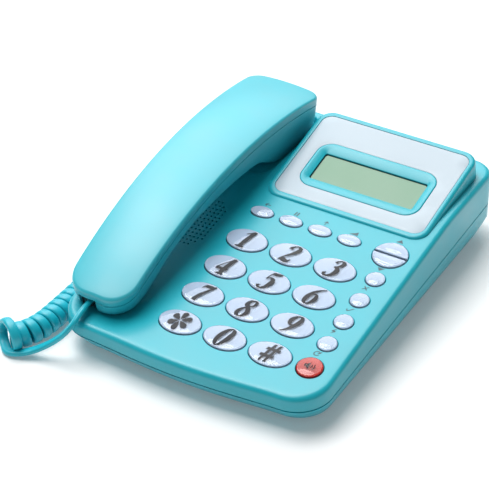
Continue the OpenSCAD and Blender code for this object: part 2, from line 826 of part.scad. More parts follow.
module handset_inner_shell() {
    color(shell_blue) on_handset() difference() {
        intersection() {
            handset_solid(0);
            split_cylinder(0);
        }
        intersection() {
            handset_solid(handset_wall);
            split_cylinder(5);
        }
        jack_notch();
        for (i = [0:5]) translate([5 * cos(60 * i), ear_y + 5 * sin(60 * i), cup_z - 1])
            cylinder(r = 1, h = 5);
        translate([0, ear_y, cup_z - 1]) cylinder(r = 1, h = 5);
        translate([mouth_x, mouth_y, deck_at(mouth_y) - 3]) cylinder(r = 1, h = 6);
        for (y = handset_boss_y) translate([0, y, grip_at(y) - 1]) {
            cylinder(r = screw_r + 0.35, h = 6);
            cylinder(r = screw_head_r + 0.3, h = 2.2);
        }
    }
}

module receiver_capsule() {
    color("dimgray") on_handset() translate([0, ear_y, cup_z + handset_wall]) {
        cylinder(r = 15, h = 4);
        cylinder(r = 8, h = 7);
    }
}

module handset_microphone() {
    color("silver") on_handset()
        translate([mouth_x, mouth_y, deck_at(mouth_y + mic_r) - mouth_sink + handset_wall])
            cylinder(r = mic_r, h = mic_h - 1);
}

module handset_weight() {
    color("slategray") on_handset() translate([0, -3, grip_z + handset_wall + 0.1])
        linear_extrude(weight_t) square([weight_w, weight_l], center = true);
}

module handset_jack() {
    color("dimgray") on_handset() on_mouthpiece() difference() {
        translate([-handset_jack_w / 2, notch_l + 0.1, 0])
            cube([handset_jack_w, handset_jack_l, handset_jack_h]);
        translate([-socket_w / 2, 0, (handset_jack_h - socket_h) / 2])
            cube([socket_w, notch_l + handset_jack_l - 1, socket_h]);
    }
}

module handset_screws() {
    color("silver") on_handset() for (y = handset_boss_y)
        translate([0, y, grip_at(y) + 1.2]) screw(short_screw_l, 1.1);
}

// Tube along a route, with a ring of n points round each of its points
function unit(v) = v / norm(v);
function ring_of(route, i, r, n) = let (
    a = route[max(i - 1, 0)], b = route[min(i + 1, len(route) - 1)], t = unit(b - a),
    u = unit(cross(abs(t[2]) > 0.95 ? [1, 0, 0] : [0, 0, 1], t)), v = cross(t, u))
    [for (k = [0:n - 1]) route[i] + r * (u * cos(360 * k / n) + v * sin(360 * k / n))];

module tube(route, r, n = 8) {
    m = len(route);
    points = [for (i = [0:m - 1]) each ring_of(route, i, r, n)];
    sides = [for (i = [0:m - 2], k = [0:n - 1]) let (
        a = i * n + k, b = a + n, c = (i + 1) * n + (k + 1) % n, d = i * n + (k + 1) % n)
        each [[a, b, c], [a, c, d]]];
    polyhedron(points, concat(sides, [[for (k = [0:n - 1]) k]],
        [[for (k = [0:n - 1]) (m - 1) * n + n - 1 - k]]), convexity = 6);
}

module cord_coil() {
    color(cord_blue) tube(coil_route, coil_d / 2, 12);
}

module cord_lead_handset() {
    color(cord_blue) tube(lead_route, lead_w / 2);
}

module cord_lead_base() {
    color(cord_blue) tube(base_lead_route, lead_w / 2);
}

module modular_plug() {
    translate([-plug_w / 2, 0, -plug_h / 2]) cube([plug_w, plug_l, plug_h]);
}

module cord_plug_handset() {
    color("whitesmoke") on_handset() on_mouthpiece()
        translate([0, notch_l, handset_jack_h / 2]) modular_plug();
}

module cord_plug_base() {
    color("whitesmoke") translate([base_jack_face - 2, base_jack_y, base_jack_z])
        rotate([0, 0, -90]) modular_plug();
}

upper_housing();
lower_housing();
display_housing();
faceplate();
display_window();
lcd_panel();
display_board();
main_board();
keypad_board();
rubber_key_mat();
loudspeaker();
handsfree_microphone();
hook_switch();
base_handset_jack();
line_jack();
ballast_plate();
battery_cells();
battery_contacts();
battery_door();
rubber_feet();
housing_screws();
board_screws();
hook_plunger();
key_1();
key_2();
key_3();
key_4();
key_5();
key_6();
key_7();
key_8();
key_9();
key_star();
key_0();
key_hash();
key_oval_1();
key_oval_2();
key_oval_3();
key_oval_4();
key_up();
key_down();
key_round_1();
key_round_2();
key_round_3();
key_round_4();
key_speaker();
handset_outer_shell();
handset_inner_shell();
receiver_capsule();
handset_microphone();
handset_weight();
handset_jack();
handset_screws();
cord_coil();
cord_lead_handset();
cord_lead_base();
cord_plug_handset();
cord_plug_base();
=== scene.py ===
import math

import bpy
import numpy as np
from mathutils import Matrix, Vector, geometry, kdtree


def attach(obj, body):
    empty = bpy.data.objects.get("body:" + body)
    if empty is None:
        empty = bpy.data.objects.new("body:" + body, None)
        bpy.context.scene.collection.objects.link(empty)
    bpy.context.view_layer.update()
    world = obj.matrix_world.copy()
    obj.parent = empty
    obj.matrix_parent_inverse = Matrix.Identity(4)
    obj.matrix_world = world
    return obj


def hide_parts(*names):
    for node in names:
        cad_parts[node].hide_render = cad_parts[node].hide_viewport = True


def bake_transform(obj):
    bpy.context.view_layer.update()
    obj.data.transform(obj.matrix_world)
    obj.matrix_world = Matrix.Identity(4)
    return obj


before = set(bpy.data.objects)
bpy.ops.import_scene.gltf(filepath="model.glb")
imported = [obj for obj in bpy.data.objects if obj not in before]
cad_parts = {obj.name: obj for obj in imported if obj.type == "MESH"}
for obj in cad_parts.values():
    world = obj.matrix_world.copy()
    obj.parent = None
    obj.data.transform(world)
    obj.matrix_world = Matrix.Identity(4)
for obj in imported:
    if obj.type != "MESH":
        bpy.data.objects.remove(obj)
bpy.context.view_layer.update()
scene = bpy.context.scene
scene.view_settings.view_transform = "Standard"

# Everything below is measured in millimetres in the phone's own frame:
# +X to its right, +Y to its back, +Z up, with the origin on the table under the middle of the base.
millimetre = 0.001

base = {
    "width": 139,
    "length": 198,
    "frontRadius": 18,
    "rearRadius": 12,
    "frontBow": 3,
    "rimRadius": 2.6,
    "wall": 2.2,
    "seamFront": 11.5,
    "seamRear": 19.5,
    "seamGap": 0.35,
    "sideLean": 4,
    "frontLean": 8,
    "footHeight": 1.5,
    "stepHeight": 6.5,
    "stepLength": 17,
    "stepRun": 4,
    "underRadius": 1.4,
}
deck = {
    "tilt": math.radians(7.2),
    "height": 26,
    "rearHeight": 37,
    "middleY": -43.5,
    "troughX": -48,
    "troughWidth": 56,
    "troughDepth": 2.6,
    "troughFront": -25,
    "edgeSoftness": 1.2,
}
handsetPlace = {"x": -50, "yaw": math.radians(-1.9)}
displayPlace = {"origin": (20.5, 54.4, 41.9), "tilt": math.radians(11.5)}

onDeck = Matrix.Translation((0, deck["middleY"], deck["height"])) @ Matrix.Rotation(deck["tilt"], 4, "X")
onDisplay = Matrix.Translation(displayPlace["origin"]) @ Matrix.Rotation(displayPlace["tilt"], 4, "X")
onHandset = Matrix.Translation((handsetPlace["x"], 0, 0)) @ Matrix.Rotation(handsetPlace["yaw"], 4, "Z")
atHome = Matrix.Identity(4)


view = {
    "azimuth": math.radians(29.93),
    "elevation": math.radians(35.69),
    "distance": 1071.95,
    "target": (-32.8, 20.59, 0),
    "lens": 155.85,
}


def addCamera():
    across = math.cos(view["elevation"])
    away = Vector((
        math.sin(view["azimuth"]) * across,
        -math.cos(view["azimuth"]) * across,
        math.sin(view["elevation"]),
    ))
    data = bpy.data.cameras.new("camera")
    data.lens = view["lens"]
    data.sensor_width = 36
    data.clip_end = 20
    camera = bpy.data.objects.new("camera", data)
    camera.location = (Vector(view["target"]) + away * view["distance"]) * millimetre
    camera.rotation_euler = away.to_track_quat("Z", "Y").to_euler()
    scene.collection.objects.link(camera)
    scene.camera = camera


def toLinear(code):
    channels = [int(code[i:i + 2], 16) / 255 for i in (1, 3, 5)]
    return [c / 12.92 if c <= 0.04045 else ((c + 0.055) / 1.055) ** 2.4 for c in channels] + [1]


def newMaterial(name):
    material = bpy.data.materials.new(name)
    material.use_nodes = True
    tree = material.node_tree
    tree.nodes.clear()
    return material, tree


def addNode(tree, kind, settings=None, values=None, links=None):
    node = tree.nodes.new(kind)
    for key, value in (settings or {}).items():
        setattr(node, key, value)
    for key, value in (values or {}).items():
        node.inputs[key].default_value = value
    for key, socket in (links or {}).items():
        tree.links.new(socket, node.inputs[key])
    return node


def finishMaterial(tree, shader):
    addNode(tree, "ShaderNodeOutputMaterial", links={"Surface": shader})


# Where a material's pattern is measured: the piece's own coordinates, in metres.
def patternPlace(tree):
    return addNode(tree, "ShaderNodeTexCoord").outputs["Object"]


def mouldedPlastic(name, colour, roughness, grain, depth, coat=0.0, mottle=0.04, coatRoughness=0.08):
    # Injection-moulded plastic: an even colour with a faint flow mottle,
    # and a fine grain that softens its highlights.
    material, tree = newMaterial(name)
    place = patternPlace(tree)
    flow = addNode(tree, "ShaderNodeTexNoise", values={"Scale": 45.0, "Detail": 3.0}, links={"Vector": place})
    tone = addNode(tree, "ShaderNodeHueSaturation", values={"Color": toLinear(colour)})
    shade = addNode(
        tree, "ShaderNodeMapRange",
        values={"From Min": 0.3, "From Max": 0.7, "To Min": 1 - mottle, "To Max": 1 + mottle},
        links={"Value": flow.outputs["Fac"]},
    )
    tree.links.new(shade.outputs["Result"], tone.inputs["Value"])
    sheen = addNode(
        tree, "ShaderNodeMapRange",
        values={"From Min": 0.3, "From Max": 0.7, "To Min": roughness * 0.85, "To Max": roughness * 1.15},
        links={"Value": flow.outputs["Fac"]},
    )
    fine = addNode(
        tree, "ShaderNodeTexNoise",
        values={"Scale": 1 / (grain * millimetre), "Detail": 2.0},
        links={"Vector": place},
    )
    bump = addNode(
        tree, "ShaderNodeBump",
        values={"Strength": 0.35, "Distance": depth * millimetre},
        links={"Height": fine.outputs["Fac"]},
    )
    shader = addNode(
        tree, "ShaderNodeBsdfPrincipled",
        values={"IOR": 1.53, "Coat Weight": coat, "Coat Roughness": coatRoughness},
        links={
            "Base Color": tone.outputs["Color"],
            "Roughness": sheen.outputs["Result"],
            "Normal": bump.outputs["Normal"],
        },
    )
    finishMaterial(tree, shader.outputs["BSDF"])
    return material


def spunMetal(name, colour, roughness, grain):
    # Rolled or plated metal: a fine brushed grain stretched along X breaks the reflection into streaks.
    material, tree = newMaterial(name)
    stretch = addNode(
        tree, "ShaderNodeMapping",
        values={"Scale": (1.0, 12.0, 12.0)},
        links={"Vector": patternPlace(tree)},
    )
    fine = addNode(
        tree, "ShaderNodeTexNoise",
        values={"Scale": 1 / (grain * millimetre), "Detail": 3.0},
        links={"Vector": stretch.outputs["Vector"]},
    )
    sheen = addNode(
        tree, "ShaderNodeMapRange",
        values={"To Min": roughness * 0.7, "To Max": roughness * 1.3},
        links={"Value": fine.outputs["Fac"]},
    )
    shader = addNode(
        tree, "ShaderNodeBsdfPrincipled",
        values={"Base Color": toLinear(colour), "Metallic": 1.0},
        links={"Roughness": sheen.outputs["Result"]},
    )
    finishMaterial(tree, shader.outputs["BSDF"])
    return material


def clearSkin(name, tint, roughness=0.03, strength=1.0):
    # A clear moulded skin: light passes straight through, and the skin adds only its reflection.
    material, tree = newMaterial(name)
    through = addNode(tree, "ShaderNodeBsdfTransparent", values={"Color": toLinear(tint)})
    gloss = addNode(
        tree, "ShaderNodeBsdfGlossy",
        values={"Color": toLinear("#FFFFFF"), "Roughness": roughness},
    )
    edge = addNode(tree, "ShaderNodeFresnel", values={"IOR": 1.49})
    amount = addNode(
        tree, "ShaderNodeMath",
        settings={"operation": "MULTIPLY"},
        values={1: strength},
        links={0: edge.outputs["Fac"]},
    )
    mixed = addNode(
        tree, "ShaderNodeMixShader",
        links={0: amount.outputs["Value"], 1: through.outputs["BSDF"], 2: gloss.outputs["BSDF"]},
    )
    finishMaterial(tree, mixed.outputs["Shader"])
    return material


def clearSolid(name, tint, roughness=0.02):
    # A solid clear moulding: it bends what lies below it, and lets the lamps light that through it.
    material, tree = newMaterial(name)
    solid = addNode(
        tree, "ShaderNodeBsdfPrincipled",
        values={
            "Base Color": toLinear(tint), "Roughness": roughness, "IOR": 1.49, "Transmission Weight": 1.0,
            "Specular IOR Level": 0.06,
        },
    )
    through = addNode(tree, "ShaderNodeBsdfTransparent", values={"Color": toLinear(tint)})
    path = addNode(tree, "ShaderNodeLightPath")
    mixed = addNode(
        tree, "ShaderNodeMixShader",
        links={0: path.outputs["Is Shadow Ray"], 1: solid.outputs["BSDF"], 2: through.outputs["BSDF"]},
    )
    finishMaterial(tree, mixed.outputs["Shader"])
    return material


# Turquoise ABS of the shells: satin from a finely blasted mould, so its highlights have no edge.
absTurquoise = mouldedPlastic(
    "abs_injection_moulded", "#0CB0C0", 0.4, 0.35, 0.004, coat=0.3, coatRoughness=0.3,
)
# The same ABS on the handset, painted a lighter turquoise and given a heavier coat than the shells so the
# handset reads brighter than the deck: a lit copy of the shell plastic.
absHandsetPaintedLighter = mouldedPlastic("abs_handset_painted_lighter", "#22B6C6", 0.46, 0.35, 0.004, coat=0.9, coatRoughness=0.44)
# Flexible PVC of the cord's jacket: a duller, deeper blue with a waxy highlight.
pvcCord = mouldedPlastic("pvc_extruded", "#18B4C6", 0.34, 0.5, 0.01)
# Silver-blue lacquer under the clear keys: an even pale pearl that shows through the domes.
keyLacquer = mouldedPlastic("silver_blue_lacquer_sprayed", "#8F9FB1", 0.5, 0.12, 0.002, mottle=0.015)
# Red lacquer under the speakerphone key.
redLacquer = mouldedPlastic("red_lacquer_sprayed", "#A03A38", 0.35, 0.12, 0.002, coat=0.3, mottle=0.03)
# Pad-printing ink of digits and pictograms: near-black and flat.
printInk = mouldedPlastic("pad_printed_ink", "#15161D", 0.62, 0.1, 0.001, mottle=0.02)
# Fine ink of the deck's pictograms, greyed by the turquoise below.
deckInk = mouldedPlastic("deck_printed_ink", "#27545E", 0.5, 0.1, 0.001, mottle=0.02)
# Silver paint of the faceplate: pale and barely grained.
plateSilver = mouldedPlastic("silver_paint_sprayed", "#B5C4CE", 0.46, 0.1, 0.002, coat=0.15, mottle=0.012)
# Reflective liquid crystal layer: a matt grey-green.
lcdLayer = mouldedPlastic("lcd_reflective_layer", "#7AA086", 0.45, 0.3, 0.001, mottle=0.02)
# Black rubber of feet and key mat.
blackRubber = mouldedPlastic("rubber_compression_moulded", "#1C1D1F", 0.7, 0.4, 0.02, mottle=0.1)
# Dark nylon of sockets, speaker cones and the switch.
darkNylon = mouldedPlastic("nylon_injection_moulded", "#26282B", 0.5, 0.4, 0.01, mottle=0.08)
# Green solder mask over the boards.
solderMask = mouldedPlastic("solder_mask_screened", "#1D5B33", 0.35, 0.6, 0.01, mottle=0.1)
# Printed sleeve of the battery cells.
cellSleeve = mouldedPlastic("pvc_sleeve_shrunk", "#C0702A", 0.3, 0.4, 0.004, mottle=0.04)
# Nickel plating of screws, contacts and microphone cans.
nickelPlate = spunMetal("nickel_plated_steel", "#C9C7C0", 0.28, 0.4)
# Bare rolled steel of the weights.
rolledSteel = spunMetal("steel_rolled", "#8D9093", 0.42, 0.8)
# Clear acrylic of the domes: the lacquer shows through it, and its crown carries the print.
acrylicDome = clearSolid("acrylic_injection_moulded", "#F7FAFF", 0.06)
# Red-tinted acrylic of the speakerphone key.
redDome = clearSolid("red_acrylic_injection_moulded", "#E8877E", 0.03)
# Clear acrylic pane over the display.
clearPane = clearSkin("acrylic_sheet_cut", "#F4FAF6", 0.02, 1.0)
# Clear polycarbonate of the cord's plugs.
clearPlug = clearSkin("polycarbonate_injection_moulded", "#E2EAEE", 0.06, 1.5)


def addObject(name, points, faces, place, material, body, sharp=35):
    mesh = bpy.data.meshes.new(name)
    matrix = np.array(place)
    points = np.asarray(points, float)
    placed = (points @ matrix[:3, :3].T + matrix[:3, 3]) * millimetre
    mesh.from_pydata(placed.tolist(), [], faces)
    mesh.validate()
    mesh.polygons.foreach_set("use_smooth", [True] * len(mesh.polygons))
    mesh.set_sharp_from_angle(angle=math.radians(sharp))
    mesh.materials.append(material)
    piece = bpy.data.objects.new(name, mesh)
    scene.collection.objects.link(piece)
    if body:
        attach(piece, body)
    return piece


# Grows as rings, bands and fills are added. Every ring is counter-clockwise seen from above.
def newShape():
    return {"points": [], "faces": []}


def addRing(shape, ring):
    start = len(shape["points"])
    shape["points"].extend([list(p) for p in ring])
    return start, len(ring)


# Faces between two rings; they look outwards when the first ring is the lower one.
def addBand(shape, lower, upper):
    first, count = lower
    second = upper[0]
    for i in range(count):
        j = (i + 1) % count
        shape["faces"].append((first + i, first + j, second + j, second + i))


def bridge(shape, rings, inward=False):
    placed = [addRing(shape, ring) for ring in rings]
    for a, b in zip(placed, placed[1:]):
        addBand(shape, *((b, a) if inward else (a, b)))
    return placed


def addCap(shape, ring, faceUp=True):
    corners = range(ring[0], ring[0] + ring[1])
    shape["faces"].append(tuple(corners if faceUp else reversed(corners)))


# Shares (across, down) of a rounded edge, from the wall to its top.
def quarterArc(steps):
    angles = [math.radians(90 * i / steps) for i in range(steps + 1)]
    return [(1 - math.cos(a), 1 - math.sin(a)) for a in angles]


def insideLoop(spots, loop):
    x, y = spots[:, 0], spots[:, 1]
    inside = np.zeros(len(spots), bool)
    for (x0, y0), (x1, y1) in zip(loop, np.roll(loop, -1, axis=0)):
        if y0 != y1:
            inside ^= ((y0 > y) != (y1 > y)) & (x < x0 + (y - y0) * (x1 - x0) / (y1 - y0))
    return inside


# Fills the area inside the outer ring and outside the holes, at the height given for each new point.
def addFill(shape, outer, holes, heightAt, spacing, faceUp=True):
    allPoints = np.array(shape["points"], float)
    loops = [allPoints[s:s + n, :2] for s, n in [outer] + holes]
    low, high = loops[0].min(0), loops[0].max(0)
    grid = np.array([
        (x, y)
        for x in np.arange(low[0] + spacing / 2, high[0], spacing)
        for y in np.arange(low[1] + spacing / 2, high[1], spacing)
    ] or [(low + high) / 2])
    keep = insideLoop(grid, loops[0])
    for loop in loops[1:]:
        keep &= ~insideLoop(grid, loop)
    edgePoints = np.concatenate(loops)
    tree = kdtree.KDTree(len(edgePoints))
    for i, p in enumerate(edgePoints):
        tree.insert((p[0], p[1], 0), i)
    tree.balance()
    grid = [g for g, k in zip(grid, keep) if k and tree.find((g[0], g[1], 0))[2] > spacing * 0.45]
    indices, edges = [], []
    for (start, count), loop in zip([outer] + holes, loops):
        at = len(indices)
        indices.extend(range(start, start + count))
        edges.extend((at + i, at + (i + 1) % count) for i in range(count))
    for x, y in grid:
        indices.append(len(shape["points"]))
        shape["points"].append([x, y, heightAt(x, y)])
    flat = [Vector(p) for p in edgePoints] + [Vector(g) for g in grid]
    made = geometry.delaunay_2d_cdt(flat, edges, [], 0, 1e-6)
    spots, triangles, origins = made[0], np.array(made[2]), made[3]
    back = [indices[o[0]] if o else None for o in origins]
    spots = np.array([tuple(s) for s in spots])
    centres = spots[triangles].mean(axis=1)
    across, along = (spots[triangles[:, k]] - spots[triangles[:, 0]] for k in (1, 2))
    doubleArea = np.abs(across[:, 0] * along[:, 1] - across[:, 1] * along[:, 0])
    sliver = 0.004  # triangles thinner than this lie between points of one straight edge, outside it
    keep = insideLoop(centres, loops[0]) & (doubleArea > sliver)
    for loop in loops[1:]:
        keep &= ~insideLoop(centres, loop)
    for triangle in triangles[keep]:
        face = [back[k] for k in triangle]
        if None not in face:
            shape["faces"].append(tuple(face) if faceUp else tuple(reversed(face)))


def cutAway(piece, cutters):
    # Each cutter is a closed mesh; the exact solver keeps the walls of the cut clean.
    for cutter in cutters:
        change = piece.modifiers.new("cut", "BOOLEAN")
        change.operation = "DIFFERENCE"
        change.solver = "EXACT"
        change.object = cutter
    bpy.context.view_layer.update()
    evaluated = piece.evaluated_get(bpy.context.evaluated_depsgraph_get())
    mesh = bpy.data.meshes.new_from_object(evaluated)
    piece.modifiers.clear()
    piece.data = mesh
    mesh.polygons.foreach_set("use_smooth", [True] * len(mesh.polygons))
    mesh.set_sharp_from_angle(angle=math.radians(35))
    for cutter in cutters:
        bpy.data.objects.remove(cutter)


def rectLoop(width, length, radius, centre=(0, 0), steps=8):
    w, h = width / 2 - radius, length / 2 - radius
    corners = [(w, -h, -90), (w, h, 0), (-w, h, 90), (-w, -h, 180)]
    loop = []
    for cx, cy, start in corners:
        for i in range(steps + 1):
            a = math.radians(start + 90 * i / steps)
            loop.append((centre[0] + cx + radius * math.cos(a), centre[1] + cy + radius * math.sin(a)))
    return np.array(loop)


def ovalLoop(width, length, centre=(0, 0), count=48):
    angles = np.linspace(0, 2 * math.pi, count, endpoint=False)
    return np.stack([centre[0] + width / 2 * np.cos(angles), centre[1] + length / 2 * np.sin(angles)], axis=1)


def ringAt(loop, height):
    heights = height if np.ndim(height) else np.full(len(loop), float(height))
    return np.column_stack([loop, heights])


def smoothLower(a, b, softness):
    h = np.maximum(softness - np.abs(a - b), 0) / softness
    return np.minimum(a, b) - h * h * softness / 4


# Closed box between two corners, for cutting.
def addCutter(name, low, high, place):
    points = [(x, y, z) for z in (low[2], high[2]) for y in (low[1], high[1]) for x in (low[0], high[0])]
    faces = [(0, 2, 3, 1), (4, 5, 7, 6), (0, 1, 5, 4), (1, 3, 7, 5), (3, 2, 6, 7), (2, 0, 4, 6)]
    return addObject(name, points, faces, place, darkNylon, None)


def addDrill(name, centre, radius, low, high, place, sides=24):
    shape = newShape()
    loop = ovalLoop(2 * radius, 2 * radius, centre, sides)
    bottom, top = bridge(shape, [ringAt(loop, low), ringAt(loop, high)])
    addCap(shape, bottom, faceUp=False)
    addCap(shape, top)
    return addObject(name, shape["points"], shape["faces"], place, darkNylon, None)


addCamera()
print("camera set")


def addStraight(points, start, end, count):
    for i in range(1, count):
        t = i / count
        points.append((start[0] + (end[0] - start[0]) * t, start[1] + (end[1] - start[1]) * t))


# The right, rear and left of an outline with round corners; its caller adds the front edge.
def threeSides(front, rear, frontHalf, rearHalf, frontR, rearR, sideCount, rearCount):
    points = []

    def corner(cx, cy, radius, start):
        for i in range(13):
            a = math.radians(start + 90 * i / 12)
            points.append((cx + radius * math.cos(a), cy + radius * math.sin(a)))

    corner(frontHalf - frontR, front + frontR, frontR, -90)
    addStraight(points, (frontHalf, front + frontR), (rearHalf, rear - rearR), sideCount)
    corner(rearHalf - rearR, rear - rearR, rearR, 0)
    addStraight(points, (rearHalf - rearR, rear), (-rearHalf + rearR, rear), rearCount)
    corner(-rearHalf + rearR, rear - rearR, rearR, 90)
    addStraight(points, (-rearHalf, rear - rearR), (-frontHalf, front + frontR), sideCount)
    corner(-frontHalf + frontR, front + frontR, frontR, 180)
    return points


def baseOutline(inset, extraFront=0.0):
    halfWidth = base["width"] / 2 - inset
    front = -base["length"] / 2 + base["frontBow"] + inset + extraFront
    rear = base["length"] / 2 - inset
    frontR = base["frontRadius"] - inset / 2
    rearR = base["rearRadius"] - inset / 2
    points = threeSides(front, rear, halfWidth, halfWidth, frontR, rearR, 64, 40)
    reach = halfWidth - frontR
    for i in range(1, 40):
        t = i / 20 - 1
        points.append((t * reach, front - base["frontBow"] * (1 - t * t) ** 1.5))
    return np.array(points)


def seamHeight(y):
    share = (y + base["length"] / 2) / base["length"]
    return base["seamFront"] + (base["seamRear"] - base["seamFront"]) * share


def deckHeight(x, y):
    slope = math.tan(deck["tilt"])
    plane = deck["height"] + (y - deck["middleY"]) * slope
    half = deck["troughWidth"] / 2
    radius = (half ** 2 + deck["troughDepth"] ** 2) / (2 * deck["troughDepth"])
    along = (y - deck["middleY"]) / math.cos(deck["tilt"])
    ahead = np.maximum(deck["troughFront"] - along, 0)
    away = np.minimum((x - deck["troughX"]) ** 2 + ahead ** 2, radius ** 2 - 1)
    depth = np.sqrt(radius ** 2 - away) - (radius - deck["troughDepth"])
    flat = smoothLower(plane, np.full(np.shape(plane), float(deck["rearHeight"])), deck["edgeSoftness"])
    return smoothLower(flat, plane - depth / math.cos(deck["tilt"]), deck["edgeSoftness"])


keys = {
    "pitchX": 24,
    "pitchY": 21,
    "middleX": 11.6,
    "width": 21.4,
    "depth": 14.8,
    "ovalWidth": 12.2,
    "ovalDepth": 7.2,
    "ovalY": 53,
    "smallPitch": 16,
    "roundX": 55.8,
    "roundSize": 9.4,
    "splitPlace": (54.6, 52),
    "splitSize": 17.4,
    "splitSlot": 1.2,
    "speakerY": -31,
    "speakerSize": 12.6,
    "gap": 0.3,
    "holeLip": 0.25,
    "holeDepth": 2.2,
}
digitNames = ["1", "2", "3", "4", "5", "6", "7", "8", "9", "star", "0", "hash"]
digitPlaces = {
    name: (keys["middleX"] + (i % 3 - 1) * keys["pitchX"], (1.5 - i // 3) * keys["pitchY"])
    for i, name in enumerate(digitNames)
}
ovalPlaces = [(-16 + i * keys["smallPitch"], keys["ovalY"]) for i in range(4)]
roundPlaces = [(keys["roundX"], 34 - i * keys["smallPitch"]) for i in range(4)]
speakerPlace = (keys["roundX"], keys["speakerY"])

grille = {
    "centre": (-48, 36.4),
    "pitchX": 2.3,
    "pitchY": 2.8,
    "reach": 6,
    "cornersOff": 11,
    "holeSize": 1.2,
    "holeDepth": 1.5,
}
pocket = {
    "width": 39.6,
    "front": 37,
    "rear": 94,
    "radius": 8,
    "floor": 33.2,
    "edge": 1.2,
    "plungerHole": (11, 8, 1, (0, 52)),
}


# A loop drawn on the sloping deck, seen straight down on the table.
def fromDeck(loop):
    slant = math.cos(deck["tilt"])
    return np.column_stack([loop[:, 0], deck["middleY"] + loop[:, 1] * slant])


def fromHandset(loop):
    c, s = math.cos(handsetPlace["yaw"]), math.sin(handsetPlace["yaw"])
    return np.column_stack([
        handsetPlace["x"] + loop[:, 0] * c - loop[:, 1] * s,
        loop[:, 0] * s + loop[:, 1] * c,
    ])


def keyHoleLoops(grow):
    def oval(width, depth, centre, count=48):
        return ovalLoop(width + 2 * grow, depth + 2 * grow, centre, count)

    loops = [oval(keys["width"], keys["depth"], place) for place in digitPlaces.values()]
    loops += [oval(keys["ovalWidth"], keys["ovalDepth"], place, 36) for place in ovalPlaces]
    loops += [oval(keys["roundSize"], keys["roundSize"], place, 36) for place in roundPlaces]
    loops.append(oval(keys["splitSize"], keys["splitSize"], keys["splitPlace"]))
    loops.append(oval(keys["speakerSize"], keys["speakerSize"], speakerPlace, 36))
    return [fromDeck(loop) for loop in loops]


def grilleLoops():
    reach = grille["reach"]
    loops = []
    for i in range(-reach, reach + 1):
        for j in range(-reach, reach + 1):
            if abs(i) + abs(j) < grille["cornersOff"]:
                centre = (
                    grille["centre"][0] + i * grille["pitchX"],
                    grille["centre"][1] + j * grille["pitchY"],
                )
                loops.append(fromDeck(ovalLoop(grille["holeSize"], grille["holeSize"], centre, 8)))
    return loops


def pocketLoop(grow):
    p = pocket
    middle = (0, (p["rear"] + p["front"]) / 2)
    return fromHandset(rectLoop(
        p["width"] + 2 * grow, p["rear"] - p["front"] + 2 * grow, p["radius"] + grow, middle, 12,
    ))


def makeUpperHousing():
    shape = newShape()
    outline = baseOutline(0)
    seam = seamHeight(outline[:, 1])
    groove = base["seamGap"]
    rim = base["rimRadius"]
    rings = [
        ringAt(baseOutline(base["wall"]), seam + groove),
        ringAt(baseOutline(groove), seam + groove / 2),
        ringAt(outline, seam + groove * 1.5),
    ]
    lower = deckHeight(outline[:, 0], outline[:, 1]) - rim
    for share in (0.33, 0.66):
        rings.append(ringAt(outline, seam + (lower - seam) * share))
    for across, down in quarterArc(6):
        loop = baseOutline(rim * across)
        rings.append(ringAt(loop, deckHeight(loop[:, 0], loop[:, 1]) - rim * down))
    placed = bridge(shape, rings)
    holes = []
    lip = keys["holeLip"]
    keyLoops = zip(keyHoleLoops(keys["gap"] + lip), keyHoleLoops(keys["gap"]))
    grilleHoles = zip(grilleLoops(), grilleLoops())
    for loops, depth in ((keyLoops, keys["holeDepth"]), (grilleHoles, grille["holeDepth"])):
        for outer, inner in loops:
            below = deckHeight(inner[:, 0], inner[:, 1])
            rings = [
                ringAt(outer, deckHeight(outer[:, 0], outer[:, 1])),
                ringAt(inner, below - lip),
                ringAt(inner, below - depth),
            ]
            holes.append(bridge(shape, rings)[0])
    # the earpiece pocket, with a rounded edge all the way round
    edge = pocket["edge"]
    rings = []
    for grow, drop in ((edge, 0), (edge * 0.5, edge * 0.15), (edge * 0.15, edge * 0.5), (0, edge)):
        loop = pocketLoop(grow)
        heights = np.maximum(deckHeight(loop[:, 0], loop[:, 1]) - drop, pocket["floor"] + 0.02)
        rings.append(ringAt(loop, heights))
    rings.append(ringAt(pocketLoop(0), pocket["floor"]))
    pocketRings = bridge(shape, rings)
    plungerLoop = fromHandset(rectLoop(*pocket["plungerHole"], 4))
    plungerHole = addRing(shape, ringAt(plungerLoop, pocket["floor"]))
    addFill(shape, pocketRings[-1], [plungerHole], lambda x, y: pocket["floor"], 6)
    addFill(shape, placed[-1], holes + [pocketRings[0]], lambda x, y: float(deckHeight(x, y)), 2.4)
    piece = addObject("upperHousing", shape["points"], shape["faces"], atHome, absTurquoise, "base", 40)
    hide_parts("upper_housing")
    return piece


underCuts = {
    "BaseJack": ((-75, 67.8, 5.8), (-64, 80.2, 16.2)),
    "LineJack": ((15.8, 94, 8.2), (28.2, 104, 18.6)),
    "Battery": ((-9, 27.0, -1), (41, 65.0, 3.4)),
    "screws": [(-57, -66), (23.6, -86), (-57, 26), (61.5, 22), (-18, 91), (52, 91)],
    "screwRadius": 2.9,
    "microphone": (0, -78),
    "microphoneRadius": 0.8,
}


def underHeight(y):
    start = base["length"] / 2 - base["stepLength"]
    run = base["stepRun"]
    share = np.clip((y - start) / run, 0, 1)
    beyond = np.clip((y - start - run) / (base["stepLength"] - run), 0, 1)
    return base["footHeight"] + share * (base["stepHeight"] - base["footHeight"]) + beyond


